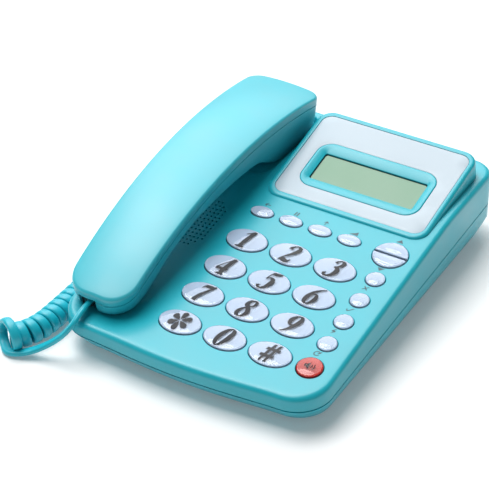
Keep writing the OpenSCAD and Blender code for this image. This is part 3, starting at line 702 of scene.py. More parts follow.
def makeLowerHousing():
    shape = newShape()
    upright = baseOutline(0)
    leaned = baseOutline(base["sideLean"], base["frontLean"] - base["sideLean"])
    inward = baseOutline(1) - baseOutline(0)
    low = base["footHeight"]
    bottom = underHeight(leaned[:, 1])
    seam = seamHeight(upright[:, 1])

    def leaningRing(heights, inset=0.0):
        share = np.clip((base["seamFront"] - heights) / (base["seamFront"] - low), 0, 1)
        loop = upright + (leaned - upright) * share[:, None] + inward * inset
        return ringAt(loop, heights)

    soft = base["underRadius"]
    outer = [leaningRing(bottom + soft * down, soft * across) for across, down in reversed(quarterArc(4))]
    knee = np.maximum(base["seamFront"], bottom + soft)
    for share in (0.5, 1.0):
        outer.append(leaningRing(bottom + soft + (knee - bottom - soft) * share))
    groove = base["seamGap"]
    outer.append(leaningRing(seam - groove / 2))
    outer.append(leaningRing(seam, groove))
    inner = [leaningRing(seam, base["wall"]), leaningRing(bottom + soft + base["wall"], base["wall"])]
    placed = bridge(shape, outer + inner)
    addFill(shape, placed[-1], [], lambda x, y: float(underHeight(y)) + base["wall"], 12)
    addFill(shape, placed[0], [], lambda x, y: float(underHeight(y)), 6, faceUp=False)
    piece = addObject("lowerHousing", shape["points"], shape["faces"], atHome, absTurquoise, "base", 40)
    cuts = underCuts
    cutters = [addCutter("cut" + name, *cuts[name], atHome) for name in ("BaseJack", "LineJack", "Battery")]
    for x, y in cuts["screws"]:
        cutters.append(addDrill(f"cutScrew{x:.0f}", (x, y), cuts["screwRadius"], -1, 11, atHome))
    cutters.append(addDrill("cutMicrophone", cuts["microphone"], cuts["microphoneRadius"], -1, 6, atHome))
    cutAway(piece, cutters)
    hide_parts("lower_housing")
    return piece


upperHousing = makeUpperHousing()
lowerHousing = makeLowerHousing()
print("base shells built")


display = {
    "width": 88,
    "length": 66,
    "radius": 8,
    "edge": 1.8,
    "drop": 18,
    "plateWidth": 82,
    "plateLength": 59,
    "plateRadius": 5.5,
    "plateX": 0.2,
    "plateThickness": 0.8,
    "plateSink": 0.2,
    "cutoutY": -4.5,
    "cutoutWidth": 66,
    "cutoutLength": 32,
    "cutoutRadius": 8,
    "windowWidth": 57,
    "windowLength": 19,
    "windowRadius": 1.2,
    "bevelDepth": 1.5,
    "skin": 3.2,
}


def plateLoop(grow):
    d = display
    return rectLoop(
        d["plateWidth"] + 2 * grow, d["plateLength"] + 2 * grow, d["plateRadius"] + grow,
        (d["plateX"], 0), 12,
    )


def cutoutLoop(grow):
    d = display
    return rectLoop(
        d["cutoutWidth"] + 2 * grow, d["cutoutLength"] + 2 * grow, d["cutoutRadius"] + grow,
        (d["plateX"], d["cutoutY"]), 12,
    )


def makeDisplayHousing():
    shape = newShape()
    d = display
    middle = (d["plateX"], d["cutoutY"])

    def blockRing(inset, height):
        loop = rectLoop(
            d["width"] - 2 * inset, d["length"] - 2 * inset, d["radius"] - inset * 0.6, (0, 0), 12,
        )
        return ringAt(loop, height)

    rings = [blockRing(0, -d["drop"]), blockRing(0, -8), blockRing(0, -4)]
    rings += [blockRing(d["edge"] * across, -d["edge"] * down) for across, down in quarterArc(6)]
    bottom = -d["plateSink"] - d["plateThickness"]
    for grow, height in ((0.4, 0), (0.2, -0.06), (0.15, -0.2), (0.15, bottom)):
        rings.append(ringAt(plateLoop(grow), height))
    placed = bridge(shape, rings)
    # the raised frame of the cut-out, with its bevel down to the window
    island = [(-0.15, bottom), (-0.15, -0.25), (-0.35, -0.05), (-0.8, 0), (-1.6, -0.05)]
    rings = [ringAt(cutoutLoop(grow), height) for grow, height in island]
    for grow, height in ((0.5, -d["bevelDepth"] + 0.1), (0.0, -d["bevelDepth"] - 0.2), (0.0, -d["skin"])):
        loop = rectLoop(
            d["windowWidth"] + 2 * grow, d["windowLength"] + 2 * grow, d["windowRadius"] + grow, middle, 12,
        )
        rings.append(ringAt(loop, height))
    addFill(shape, placed[-1], [bridge(shape, rings)[0]], lambda x, y: bottom, 8)
    piece = addObject("displayHousing", shape["points"], shape["faces"], onDisplay, absTurquoise, "base", 40)
    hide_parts("display_housing")
    return piece


def makeFaceplate():
    shape = newShape()
    top = -display["plateSink"]
    bottom = top - display["plateThickness"]
    edge = ((0, bottom), (0, top - 0.2), (0.07, top - 0.06), (0.2, top))
    outer = bridge(shape, [ringAt(plateLoop(-inset), height) for inset, height in edge])
    inner = bridge(shape, [ringAt(cutoutLoop(grow), height) for grow, height in edge], inward=True)
    addFill(shape, outer[-1], [inner[-1]], lambda x, y: top, 6)
    piece = addObject("faceplate", shape["points"], shape["faces"], onDisplay, plateSilver, "base")
    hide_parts("faceplate")


def makeLcdFace():
    # The liquid crystal cell shows close under the bevel, on a dark sheet that paints the shadow of the
    # bevel's step:
    # the cell sits shifted forward and right, so the dark frame is a little wider behind and at the left.
    d = display
    for name, low, high, margin, paintedShadowShift, material in (
        # dark sheet under the cell: painted shadow along its back and left edges
        ("lcdPaintedShadowFrame", -3.1, -2.6, 0.1, 0.0, blackRubber),
        ("lcdFace", -2.6, -2.2, 0.9, 0.3, lcdLayer),
    ):
        middle = (d["plateX"] + paintedShadowShift, d["cutoutY"] - paintedShadowShift)
        loop = rectLoop(
            d["windowWidth"] - margin, d["windowLength"] - margin, d["windowRadius"], middle, 4,
        )
        shape = newShape()
        bottom, top = bridge(shape, [ringAt(loop, low), ringAt(loop, high)])
        addCap(shape, top)
        addCap(shape, bottom, faceUp=False)
        addObject(name, shape["points"], shape["faces"], onDisplay, material, "base")


makeDisplayHousing()
makeFaceplate()
makeLcdFace()
print("display built")


# A stroke follows points (x, y, width) as a brush of changing width, in hundredths of the height.
glyphs = {
    "1": [[(6, 74, 5), (20, 84, 7), (33, 97, 10)],
          [(33, 97, 17), (33, 50, 17), (33, 5, 17)],
          [(12, 3, 6), (33, 4, 7), (54, 3, 6)]],
    "2": [[(10, 72, 17), (13, 87, 10), (30, 97, 6), (46, 88, 13), (49, 70, 19),
           (38, 48, 13), (20, 26, 7), (8, 8, 5)],
          [(7, 6, 5), (20, 13, 13), (36, 8, 15), (50, 7, 10), (58, 20, 4)]],
    "3": [[(10, 78, 15), (15, 90, 8), (29, 97, 6), (43, 87, 14), (45, 73, 17),
           (36, 60, 10), (22, 54, 5)],
          [(22, 54, 5), (40, 50, 12), (50, 32, 20), (42, 12, 14), (25, 3, 6),
           (12, 7, 10), (8, 18, 16)]],
    "4": [[(42, 98, 5), (24, 66, 5), (4, 30, 6)],
          [(3, 30, 11), (30, 30, 11), (60, 30, 11)],
          [(42, 97, 17), (42, 50, 17), (42, 4, 17)],
          [(24, 3, 6), (42, 4, 7), (58, 3, 6)]],
    "5": [[(13, 92, 12), (30, 91, 14), (46, 93, 13), (56, 99, 4)],
          [(15, 93, 6), (13, 74, 5), (11, 54, 5)],
          [(11, 54, 5), (26, 63, 7), (43, 56, 14), (49, 36, 20), (42, 13, 14),
           (25, 3, 6), (12, 7, 10), (8, 17, 16)]],
    "6": [[(52, 97, 4), (34, 86, 8), (16, 62, 15), (10, 32, 19), (17, 10, 12),
           (30, 3, 5), (43, 10, 12), (50, 30, 18), (43, 50, 12), (30, 57, 5),
           (16, 48, 6)]],
    "7": [[(5, 72, 4), (8, 86, 7), (12, 90, 10)],
          [(8, 89, 13), (28, 89, 15), (44, 90, 12), (56, 97, 5)],
          [(55, 95, 6), (40, 62, 11), (28, 30, 16), (24, 3, 19)]],
    "8": [[(30, 97, 6), (14, 88, 13), (13, 70, 16), (28, 55, 13), (44, 38, 16),
           (48, 20, 16), (40, 7, 10), (28, 3, 5), (13, 10, 12), (9, 26, 16),
           (18, 44, 9), (34, 58, 6), (45, 74, 12), (42, 90, 10), (30, 97, 6)]],
    "9": [[(7, 3, 4), (26, 13, 8), (43, 37, 15), (50, 67, 19), (43, 90, 12),
           (30, 97, 5), (17, 90, 12), (10, 70, 18), (17, 50, 12), (30, 43, 5),
           (44, 52, 6)]],
    "0": [[(30, 98, 5), (15, 84, 14), (9, 50, 19), (15, 16, 14), (30, 2, 5),
           (45, 16, 14), (51, 50, 19), (45, 84, 14), (30, 98, 5)]],
    "hash": [[(22, 98, 10), (22, 50, 10), (22, 2, 10)],
             [(46, 98, 10), (46, 50, 10), (46, 2, 10)],
             [(2, 68, 11), (34, 68, 11), (66, 68, 11)],
             [(2, 32, 11), (34, 32, 11), (66, 32, 11)]],
    "star": [[(33 + 7 * math.cos(a), 50 + 7 * math.sin(a), 3),
              (33 + 24 * math.cos(a), 50 + 24 * math.sin(a), 15),
              (33 + 40 * math.cos(a), 50 + 40 * math.sin(a), 22),
              (33 + 49 * math.cos(a), 50 + 49 * math.sin(a), 8)]
             for a in (math.radians(30 + 60 * i) for i in range(6))],
}
pictograms = {
    "undo": [[(10, 50, 10), (50, 50, 10), (90, 50, 10)],
             [(38, 85, 10), (20, 66, 10), (8, 50, 10), (20, 34, 10), (38, 15, 10)]],
    "pause": [[(30, 90, 16), (30, 50, 16), (30, 10, 16)],
              [(70, 90, 16), (70, 50, 16), (70, 10, 16)]],
    "send": [[(50, 10, 10), (50, 50, 10), (50, 90, 10)],
             [(20, 60, 10), (36, 78, 10), (50, 92, 10), (64, 78, 10), (80, 60, 10)]],
    "level": [[(0, 10, 6), (60, 26, 32), (110, 42, 64)]],
    "up": [[(50, 85, 5), (50, 50, 45), (50, 20, 85)]],
    "down": [[(50, 80, 85), (50, 50, 45), (50, 15, 5)]],
    "clear": [[(15, 85, 12), (50, 50, 12), (85, 15, 12)],
              [(15, 15, 12), (50, 50, 12), (85, 85, 12)]],
    "tick": [[(8, 50, 12), (35, 15, 12), (95, 85, 12)]],
    "bolt": [[(65, 98, 10), (30, 50, 14), (70, 52, 14), (35, 2, 6)]],
    "redial": [[(85, 62, 11), (60, 88, 11), (25, 78, 11), (10, 45, 11), (30, 12, 11),
                (65, 10, 11), (88, 35, 11)],
               [(95, 95, 8), (90, 75, 10), (85, 60, 10), (68, 60, 10), (50, 60, 8)]],
    "speaker": [[(5, 50, 30), (20, 50, 30)],
                [(24, 50, 30), (36, 50, 55), (48, 50, 80)],
                [(66, 70, 7), (72, 50, 7), (66, 30, 7)],
                [(84, 85, 7), (94, 50, 7), (84, 15, 7)]],
}


def smoothLine(points, perSpan=8):
    # Catmull-Rom through every point, ends repeated.
    p = np.array([points[0]] + list(points) + [points[-1]], float)
    line = []
    for i in range(1, len(p) - 2):
        for k in range(perSpan):
            t = k / perSpan
            line.append(0.5 * (
                2 * p[i] + (p[i + 1] - p[i - 1]) * t
                + (2 * p[i - 1] - 5 * p[i] + 4 * p[i + 1] - p[i + 2]) * t ** 2
                + (3 * p[i] - p[i - 1] - 3 * p[i + 1] + p[i + 2]) * t ** 3
            ))
    line.append(p[-2])
    return np.array(line)


# Flat print of one glyph. Each stroke lies a hair above the one before, so none shares a plane.
def addPrint(name, strokes, centre, size, heightAt, place, material, body, slant=0.0, squeeze=1.0, middle=0.3,
             weight=1.0):
    points, faces = [], []
    for layer, stroke in enumerate(strokes):
        line = smoothLine(np.array(stroke) * 0.01)
        along = np.gradient(line[:, :2], axis=0)
        along /= np.maximum(np.linalg.norm(along, axis=1), 1e-9)[:, None]
        side = np.column_stack([-along[:, 1], along[:, 0]]) * line[:, 2:3] * weight / 2
        start = len(points)
        for edge in (line[:, :2] + side, line[:, :2] - side):
            for x, y in edge:
                px = centre[0] + ((x - middle) * squeeze + (y - 0.5) * slant) * size
                py = centre[1] + (y - 0.5) * size
                points.append((px, py, heightAt(px, py) + 0.015 * layer))
        n = len(line)
        for i in range(n - 1):
            faces.append((start + n + i, start + n + i + 1, start + i + 1, start + i))
    piece = addObject(name, points, faces, place, material, body)
    return piece


keyShape = {
    "below": 2.3,
    "domeWall": 0.35,
    "domeShoulder": 0.62,
    "domeRise": 1.45,
    "domeEdge": 1.0,
    "baseHeight": 0.4,
    "baseInset": 0.25,
    "digitSize": 12.6,
    "digitSlant": 0.26,
    "starSlant": 0.12,
    "digitSqueeze": 0.86,
    "printWeight": 1.2,
    "speakerPrint": 4.8,
}


def domeCrown(loopAt):
    # Height of a dome's crown over its rounded shoulder.
    last = loopAt(keyShape["domeEdge"])
    size = last.max(0) - last.min(0)
    mid = (last.max(0) + last.min(0)) / 2
    top = keyShape["domeWall"] + keyShape["domeShoulder"]

    def crown(x, y):
        away = ((x - mid[0]) / (size[0] / 2)) ** 2 + ((y - mid[1]) / (size[1] / 2)) ** 2
        if away <= 1:
            return top + (keyShape["domeRise"] - top) * (1 - away)
        past = min(1.0, (math.sqrt(away) - 1) * size[1] / 2 / keyShape["domeEdge"])
        return keyShape["domeWall"] + keyShape["domeShoulder"] * math.sqrt(1 - past ** 2)

    return crown


def addDome(name, loopAt, material, body):
    # Vertical wall, rounded shoulder, then a shallow crown.
    shape = newShape()
    k = keyShape
    rings = [ringAt(loopAt(0), -k["below"]), ringAt(loopAt(0), k["domeWall"] - 0.3)]
    for across, down in quarterArc(6):
        height = k["domeWall"] + k["domeShoulder"] * (1 - down)
        rings.append(ringAt(loopAt(k["domeEdge"] * across), height))
    last = loopAt(k["domeEdge"])
    mid = (last.max(0) + last.min(0)) / 2
    crown = domeCrown(loopAt)
    for share in (0.86, 0.7, 0.5, 0.3, 0.12):
        loop = mid + (last - mid) * share
        rings.append(ringAt(loop, np.array([crown(x, y) for x, y in loop])))
    placed = bridge(shape, rings)
    addCap(shape, placed[-1])
    addCap(shape, placed[0], faceUp=False)
    return addObject(name, shape["points"], shape["faces"], onDeck, material, body, 50)


def addKeyBase(name, loopAt, material, body):
    # The lacquered body of the key, close under the clear dome.
    shape = newShape()
    k = keyShape
    top = k["baseHeight"]
    inset = k["baseInset"]
    placed = bridge(shape, [
        ringAt(loopAt(inset), -k["below"] + 0.1),
        ringAt(loopAt(inset), top - 0.1),
        ringAt(loopAt(inset + 0.1), top),
        ringAt(loopAt(inset + 1.7), top),
    ])
    addCap(shape, placed[-1])
    addCap(shape, placed[0], faceUp=False)
    return addObject(name, shape["points"], shape["faces"], onDeck, material, body, 40)


def addKey(node, loopAt, domeMaterial, baseMaterial):
    body = node + "_body"
    dome = addDome(node + "_dome", loopAt, domeMaterial, body)
    addKeyBase(node + "_lacquer", loopAt, baseMaterial, body)
    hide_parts(node)
    return body


def onDome(loopAt):
    crown = domeCrown(loopAt)
    return lambda x, y: crown(x, y) + 0.03


# A key's outline, drawn in from its edge by an inset.
def ovalKey(width, depth, place, count=48):
    return lambda inset: ovalLoop(width - 2 * inset, depth - 2 * inset, place, count)


def splitKey(side):
    def loopAt(inset):
        radius = keys["splitSize"] / 2 - inset
        edge = keys["splitSlot"] / 2 + inset
        start = math.asin(edge / radius)
        angles = np.linspace(start, math.pi - start, 34)
        arc = np.stack([radius * np.cos(angles), radius * np.sin(angles)], axis=1)
        flat = np.linspace(arc[-1], arc[0], 16)[1:-1]
        return side * np.concatenate([arc, flat]) + np.array(keys["splitPlace"])

    return loopAt


def makeKeys():
    k = keys
    middles = {"hash": 0.34, "star": 0.33}
    for name, place in digitPlaces.items():
        node = "key_" + name
        loopAt = ovalKey(k["width"], k["depth"], place, 64)
        body = addKey(node, loopAt, acrylicDome, keyLacquer)
        slant = keyShape["starSlant"] if name == "star" else keyShape["digitSlant"]
        addPrint(
            node + "_print", glyphs[name], place, keyShape["digitSize"], onDome(loopAt),
            onDeck, printInk, body, slant, keyShape["digitSqueeze"], middles.get(name, 0.3),
            keyShape["printWeight"],
        )
    for i, place in enumerate(ovalPlaces):
        loopAt = ovalKey(k["ovalWidth"], k["ovalDepth"], place)
        addKey(f"key_oval_{i + 1}", loopAt, acrylicDome, keyLacquer)
    for i, place in enumerate(roundPlaces):
        loopAt = ovalKey(k["roundSize"], k["roundSize"], place)
        addKey(f"key_round_{i + 1}", loopAt, acrylicDome, keyLacquer)
    loopAt = ovalKey(k["speakerSize"], k["speakerSize"], speakerPlace)
    body = addKey("key_speaker", loopAt, redDome, redLacquer)
    addPrint(
        "key_speaker_print", pictograms["speaker"], speakerPlace, keyShape["speakerPrint"],
        onDome(loopAt), onDeck, printInk, body, 0.0, 1.2, 0.5, keyShape["printWeight"],
    )
    for node, side in (("key_up", 1), ("key_down", -1)):
        addKey(node, splitKey(side), acrylicDome, keyLacquer)


labels = {"size": 3.4, "slant": 0.15, "weight": 1.3, "height": 0.04, "stepLeft": 1.4}
deckLabels = [
    ("undo", ovalPlaces[0], 6.1),
    ("pause", ovalPlaces[1], 6.1),
    ("send", ovalPlaces[2], 6.1),
    ("level", ovalPlaces[3], 6.1),
    ("up", keys["splitPlace"], 11.0),
    ("down", keys["splitPlace"], -10.6),
    ("clear", roundPlaces[0], -7.3),
    ("tick", roundPlaces[1], -7.3),
    ("bolt", roundPlaces[2], -7.3),
    ("redial", roundPlaces[3], -7.3),
]


def makeDeckLabels():
    for name, place, above in deckLabels:
        middle = 0.55 if name == "level" else 0.5
        stepLeft = labels["stepLeft"] if above < 0 and name != "down" else 0
        addPrint(
            "label_" + name, pictograms[name], (place[0] - stepLeft, place[1] + above), labels["size"],
            lambda x, y: labels["height"], onDeck, deckInk, "base", labels["slant"], 1.0, middle,
            labels["weight"],
        )


makeKeys()
makeDeckLabels()
print("keys built")


handset = {
    "front": -87,
    "rear": 90,
    "frontWidth": 35.4,
    "rearWidth": 41.4,
    "frontRadius": 13,
    "rearRadius": 7,
    "backRadius": 256,
    "backY": 36.5,
    "backTop": 59.6,
    "crown": 2.8,
    "crease": 1.2,
    "lean": 2.0,
    "coverHeight": 4.5,
    "underRadius": 1.6,
    "groove": 0.22,
    "underside": [
        (-95, 18.9), (-87, 19.9), (-78, 21.04), (-71, 22.0), (-66, 23.6), (-60, 26.4), (-53, 30.1),
        (-46, 33.6), (-37.5, 36.6), (-24.5, 40.2), (-8.5, 42.3), (8, 43.5), (20, 43.5), (29, 43.0),
        (34.5, 42.0), (39, 40.2), (44, 37.2), (49, 34.9), (54, 33.7), (60, 33.5), (75, 33.5), (95, 33.5),
    ],
}


def handsetOutline(inset):
    h = handset
    front, rear = h["front"] + inset, h["rear"] - inset
    wf, wr = h["frontWidth"] / 2 - inset, h["rearWidth"] / 2 - inset
    rf, rr = h["frontRadius"] - inset * 0.5, h["rearRadius"] - inset * 0.5
    points = threeSides(front, rear, wf, wr, rf, rr, 70, 14)
    addStraight(points, (-wf + rf, front), (wf - rf, front), 10)
    return np.array(points)


def backHeight(x, y):
    h = handset
    half = h["rearWidth"] / 2
    share = 1 - 0.45 * np.clip((y - 20) / 70, 0, 1) ** 2
    rise = h["crown"] * share * (1 - np.clip(np.abs(x) / half, 0, 1) ** 2)
    reach = h["backRadius"] + rise
    return h["backTop"] - h["backRadius"] + np.sqrt(reach ** 2 - (y - h["backY"]) ** 2)


def undersideHeight(y):
    spots = np.array(handset["underside"], float)
    slopes = np.gradient(spots[:, 1], spots[:, 0])
    i = np.clip(np.searchsorted(spots[:, 0], y) - 1, 0, len(spots) - 2)
    wide = spots[i + 1, 0] - spots[i, 0]
    t = (y - spots[i, 0]) / wide
    return (
        spots[i, 1] * (1 + 2 * t) * (1 - t) ** 2 + slopes[i] * wide * t * (1 - t) ** 2
        + spots[i + 1, 1] * t * t * (3 - 2 * t) + slopes[i + 1] * wide * t * t * (t - 1)
    )


def creaseHeight(loop):
    return backHeight(loop[:, 0], loop[:, 1]) - handset["crease"]


# A ring of the side wall at a share of the way up from the underside to the crease.
def sideRing(share, inset=0.0, lift=0.0):
    loop = handsetOutline(0)
    low = undersideHeight(loop[:, 1])
    high = creaseHeight(loop)
    leaned = handsetOutline(handset["lean"] * (1 - share) ** 1.5 + inset)
    return ringAt(leaned, low + (high - low) * share + lift)


def splitRing(inset, lift=0.0):
    loop = handsetOutline(0)
    low = undersideHeight(loop[:, 1])
    high = creaseHeight(loop)
    height = high - (handset["coverHeight"] - handset["crease"])
    share = np.clip((height - low) / (high - low), 0, 1)
    inner = handsetOutline(handset["lean"])
    leaned = loop + (inner - loop) * ((1 - share) ** 1.5)[:, None]
    inward = (handsetOutline(1) - loop) * inset
    return ringAt(leaned + inward, height + lift)


handsetCuts = {
    "jackX": -3.5,
    "jackZ": 19.9,
    "notch": ((-5, -4, -3), (5, 4.1, 7.4)),
    "jack": ((-5.3, 4, -3), (5.3, 17.2, 7.5)),
    "holeRadius": 1,
    "earY": 69,
    "earSpread": 5,
    "mouth": (9, -73),
    "screwYs": (-30, 24),
    "screwRadius": 2.9,
}


def jackCutters(name):
    # The notch for the cord and the opening of the jack, square to the flat underside of the mouthpiece.
    cuts = handsetCuts
    corner = Matrix.Translation((cuts["jackX"], handset["front"], cuts["jackZ"]))
    place = onHandset @ corner @ Matrix.Rotation(deck["tilt"], 4, "X")
    return [
        addCutter(name + "Notch", *cuts["notch"], place),
        addCutter(name + "Jack", *cuts["jack"], place),
    ]


def makeHandset():
    h = handset
    # outer shell: from the parting line over the back
    shape = newShape()
    groove = h["groove"]
    rings = [splitRing(groove * 2, 0.25), splitRing(groove, 0.05), splitRing(0, 0.3), sideRing(0.93)]
    for across, down in quarterArc(7):
        loop = handsetOutline(h["crease"] * across)
        rings.append(ringAt(loop, backHeight(loop[:, 0], loop[:, 1]) - h["crease"] * down))
    for inset in (3.2, 4.6, 6.5, 8.5):
        loop = handsetOutline(inset)
        rings.append(ringAt(loop, backHeight(loop[:, 0], loop[:, 1])))
    placed = bridge(shape, rings)
    addFill(shape, placed[-1], [], lambda x, y: float(backHeight(x, y)), 3)
    middleHeight = splitRing(0)
    yOrder = np.argsort(middleHeight[:, 1])
    addFill(
        shape, placed[0], [],
        lambda x, y: float(np.interp(y, middleHeight[yOrder, 1], middleHeight[yOrder, 2])) + 0.3, 6,
        faceUp=False,
    )
    outer = addObject("handsetOuterShell", shape["points"], shape["faces"], onHandset, absHandsetPaintedLighter, None, 40)
    cutAway(outer, jackCutters("outer"))
    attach(outer, "handset")
    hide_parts("handset_outer_shell")
    # inner shell: from the rounded lower edge up to the parting line
    shape = newShape()
    loop = handsetOutline(0)
    low = undersideHeight(loop[:, 1])
    rings = []
    for across, down in reversed(quarterArc(5)):
        inset = handsetOutline(h["lean"] + h["underRadius"] * across)
        rings.append(ringAt(inset, low + h["underRadius"] * down))
    for share in (0.25, 0.45, 0.62):
        ring = sideRing(share)
        top = splitRing(0)
        ring[:, 2] = np.clip(ring[:, 2], low + h["underRadius"] + share, top[:, 2] - 0.8 * (1 - share))
        rings.append(ring)
    rings += [splitRing(0, -0.15), splitRing(groove, 0), splitRing(groove * 3, 0.02)]
    placed = bridge(shape, rings)
    addFill(shape, placed[0], [], lambda x, y: float(undersideHeight(y)), 3, faceUp=False)
    addFill(
        shape, placed[-1], [],
        lambda x, y: float(np.interp(y, middleHeight[yOrder, 1], middleHeight[yOrder, 2])), 6,
    )
    inner = addObject("handsetInnerShell", shape["points"], shape["faces"], onHandset, absHandsetPaintedLighter, None, 40)
    cutters = jackCutters("inner")
    cuts = handsetCuts
    for i in range(7):
        a = math.radians(60 * i)
        spread = 0 if i == 6 else cuts["earSpread"]
        spot = (spread * math.cos(a), cuts["earY"] + spread * math.sin(a))
        cutters.append(addDrill(f"cutEar{i}", spot, cuts["holeRadius"], 31, 35.4, onHandset, 16))
    cutters.append(addDrill("cutMouth", cuts["mouth"], cuts["holeRadius"], 18, 24, onHandset, 16))
    for y in cuts["screwYs"]:
        low = float(undersideHeight(y)) - 3
        name = f"cutHandsetScrew{y}"
        cutters.append(addDrill(name, (0, y), cuts["screwRadius"], low, low + 4.3, onHandset))
    cutAway(inner, cutters)
    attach(inner, "handset")
    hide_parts("handset_inner_shell")


makeHandset()
print("handset built")


cord = {
    "width": 4.8,
    "thickness": 2.6,
    "coilOuter": 13,
    "pitch": 5.0,
    "leadTurns": 1.1,
    "openTurn": 3.4,
    "pointsPerTurn": 22,
    "sectionPoints": 14,
    "axis": [(-85, -105, 6.6), (-81.6, -100, 6.6), (-79, -92, 6.6), (-78, -80, 6.6), (-77.5, -50, 6.6),
             (-77.5, -10, 6.6), (-78.2, 25, 6.6), (-80, 50, 6.6)],
    "lead": [(-56.3, -83.35, 23.95), (-56.4, -88.5, 23.3), (-55.8, -94, 23), (-56.4, -99.2, 20.2),
             (-59.8, -102.2, 15), (-65.2, -104.1, 9.6), (-71.8, -106.9, 5), (-77.2, -109.9, 3),
             (-82, -111.9, 2.1), (-85.6, -111.7, 1.6)],
    "tail": [(-78.6, 50.8, 12.2), (-76.4, 53.6, 11.8), (-76.9, 58.6, 10.4), (-79.8, 63, 9), (-82.2, 67, 8.3),
             (-81.6, 71.3, 9.3), (-77.6, 73.6, 10.5), (-73, 74, 11), (-68.5, 74, 11)],
}


def resample(line, step):
    lengths = np.concatenate([[0], np.cumsum(np.linalg.norm(np.diff(line, axis=0), axis=1))])
    count = max(2, int(round(lengths[-1] / step)) + 1)
    marks = np.linspace(0, lengths[-1], count)
    return np.column_stack([np.interp(marks, lengths, line[:, k]) for k in range(3)])


def coilPath():
    # The flat cord lies with its wide side on the coil.
    # Its first turn, at the open end, runs wider than the rest.
    c = cord
    axis = smoothLine(c["axis"], 12)
    radius = (c["coilOuter"] - c["thickness"]) / 2
    lengths = np.concatenate([[0], np.cumsum(np.linalg.norm(np.diff(axis, axis=0), axis=1))])
    turns = lengths[-1] / c["pitch"]
    course = np.gradient(axis, axis=0)
    lead = c["leadTurns"]
    marks = np.arange(-lead * c["pointsPerTurn"], turns * c["pointsPerTurn"] + 1)
    points, outward = [], []
    for mark in marks:
        turn = mark / c["pointsPerTurn"]
        reach = turn * c["pitch"]
        spot = np.array([np.interp(max(reach, 0), lengths, axis[:, k]) for k in range(3)])
        along = np.array([np.interp(max(reach, 0), lengths, course[:, k]) for k in range(3)])
        along /= np.linalg.norm(along)
        if reach < 0:
            spot = spot + along * reach
        right = np.cross(along, (0, 0, 1))
        right /= np.linalg.norm(right)
        angle = math.radians(-90) - 2 * math.pi * (turn + lead)
        wide = 0.0
        if turn < 0:
            share = (turn + lead) / lead
            wide = c["openTurn"] * math.sin(math.pi * min(1, share * 1.15)) ** 1.3
        out = right * math.cos(angle) + np.array((0, 0, 1.0)) * math.sin(angle)
        points.append(spot + out * (radius + wide))
        outward.append(out)
    return np.array(points), np.array(outward)


def lineCourse(line, i):
    along = line[min(i + 1, len(line) - 1)] - line[max(i - 1, 0)]
    return along / np.linalg.norm(along)


def cordLine():
    coil, outward = coilPath()
    lead = smoothLine(cord["lead"] + [tuple(coil[0])], 14)
    lead = resample(lead, 1.4)[:-1]
    tail = smoothLine([tuple(coil[-1])] + cord["tail"], 10)
    tail = resample(tail, 1.6)[1:]
    line = np.concatenate([lead, coil, tail])
    sides = np.full((len(line), 3), np.nan)
    sides[len(lead):len(lead) + len(coil)] = outward
    # carry the flat side along the lead and the tail without twisting it
    for order in (range(len(lead) - 1, -1, -1), range(len(lead) + len(coil), len(line))):
        step = 1 if order.step == -1 else -1
        for i in order:
            along = lineCourse(line, i)
            side = sides[i + step]
            side = side - along * np.dot(side, along)
            sides[i] = side / np.linalg.norm(side)
    return line, sides


def makeCord():
    c = cord
    line, sides = cordLine()
    shape = newShape()
    angles = np.linspace(0, 2 * math.pi, c["sectionPoints"], endpoint=False)
    # a flat section with full round edges
    x, y = np.cos(angles), np.sin(angles)
    thin = c["thickness"] / 2 * np.sign(x) * np.abs(x) ** 0.7
    wide = c["width"] / 2 * np.sign(y) * np.abs(y) ** 0.7
    rings = []
    for i, point in enumerate(line):
        along = lineCourse(line, i)
        side = sides[i] - along * np.dot(sides[i], along)
        side /= np.linalg.norm(side)
        rings.append(point + np.outer(thin, side) + np.outer(wide, np.cross(along, side)))
    placed = bridge(shape, rings)
    addCap(shape, placed[0], faceUp=False)
    addCap(shape, placed[-1])
    piece = addObject("handsetCord", shape["points"], shape["faces"], atHome, pvcCord, None, 60)
    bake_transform(piece)
    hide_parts("cord_coil", "cord_lead_handset", "cord_lead_base")


makeCord()


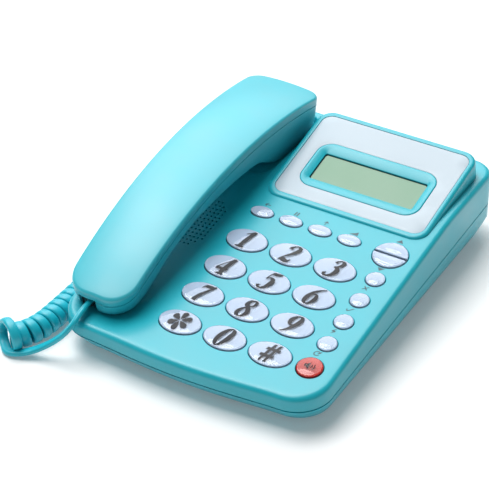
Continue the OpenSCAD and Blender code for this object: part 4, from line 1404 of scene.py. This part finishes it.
# Materials of the CAD parts that stay.
partMaterials = {
    "display_window": clearPane,
    "lcd_panel": lcdLayer,
    "display_board": solderMask,
    "main_board": solderMask,
    "keypad_board": solderMask,
    "rubber_key_mat": blackRubber,
    "rubber_feet": blackRubber,
    "loudspeaker": darkNylon,
    "hook_switch": darkNylon,
    "base_handset_jack": darkNylon,
    "line_jack": darkNylon,
    "receiver_capsule": darkNylon,
    "handset_jack": darkNylon,
    "handsfree_microphone": nickelPlate,
    "handset_microphone": nickelPlate,
    "battery_contacts": nickelPlate,
    "housing_screws": nickelPlate,
    "board_screws": nickelPlate,
    "handset_screws": nickelPlate,
    "ballast_plate": rolledSteel,
    "handset_weight": rolledSteel,
    "battery_cells": cellSleeve,
    "battery_door": absTurquoise,
    "hook_plunger": absTurquoise,
    "cord_plug_handset": clearPlug,
    "cord_plug_base": clearPlug,
}
for node, material in partMaterials.items():
    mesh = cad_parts[node].data
    mesh.materials.clear()
    mesh.materials.append(material)
print("part materials set")


studio = {
    "floorSize": 6.0,
    "floorGlow": 0.14,
    "back": {"place": (-0.66, 0.88, 1.14), "size": 1.5, "power": 22},
    "top": {"place": (-0.45, 0.0, 1.3), "size": 0.9, "power": 15},
    "sky": "#EEF3F7",
    "skyPower": 0.2,
}


def addStudio():
    size = studio["floorSize"] / 2
    mesh = bpy.data.meshes.new("floor")
    mesh.from_pydata(
        [(-size, -size, 0), (size, -size, 0), (size, size, 0), (-size, size, 0)], [], [(0, 1, 2, 3)],
    )
    # Seamless paper: white and matt, so the phone stands on a pale ground with a soft shadow.
    material, tree = newMaterial("paper_backdrop")
    shader = addNode(
        tree, "ShaderNodeBsdfPrincipled",
        values={
            "Base Color": toLinear("#F0F0F0"), "Roughness": 0.9, "Specular IOR Level": 0.1,
            "Emission Color": toLinear("#FFFFFF"), "Emission Strength": studio["floorGlow"],
        },
    )
    finishMaterial(tree, shader.outputs["BSDF"])
    mesh.materials.append(material)
    floor = bpy.data.objects.new("floor", mesh)
    scene.collection.objects.link(floor)
    for name in ("back", "top"):
        lamp = studio[name]
        data = bpy.data.lights.new(name, "AREA")
        data.size = lamp["size"]
        data.energy = lamp["power"]
        light = bpy.data.objects.new(name, data)
        light.location = lamp["place"]
        aim = Vector(lamp["place"]) - Vector((0, 0, 0.02))
        light.rotation_euler = aim.to_track_quat("Z", "Y").to_euler()
        scene.collection.objects.link(light)
    world = bpy.data.worlds.new("studio")
    world.use_nodes = True
    tree = world.node_tree
    tree.nodes.clear()
    glow = addNode(
        tree, "ShaderNodeBackground",
        values={"Color": toLinear(studio["sky"]), "Strength": studio["skyPower"]},
    )
    addNode(tree, "ShaderNodeOutputWorld", links={"Surface": glow.outputs["Background"]})
    scene.world = world


addStudio()
print("studio lit")
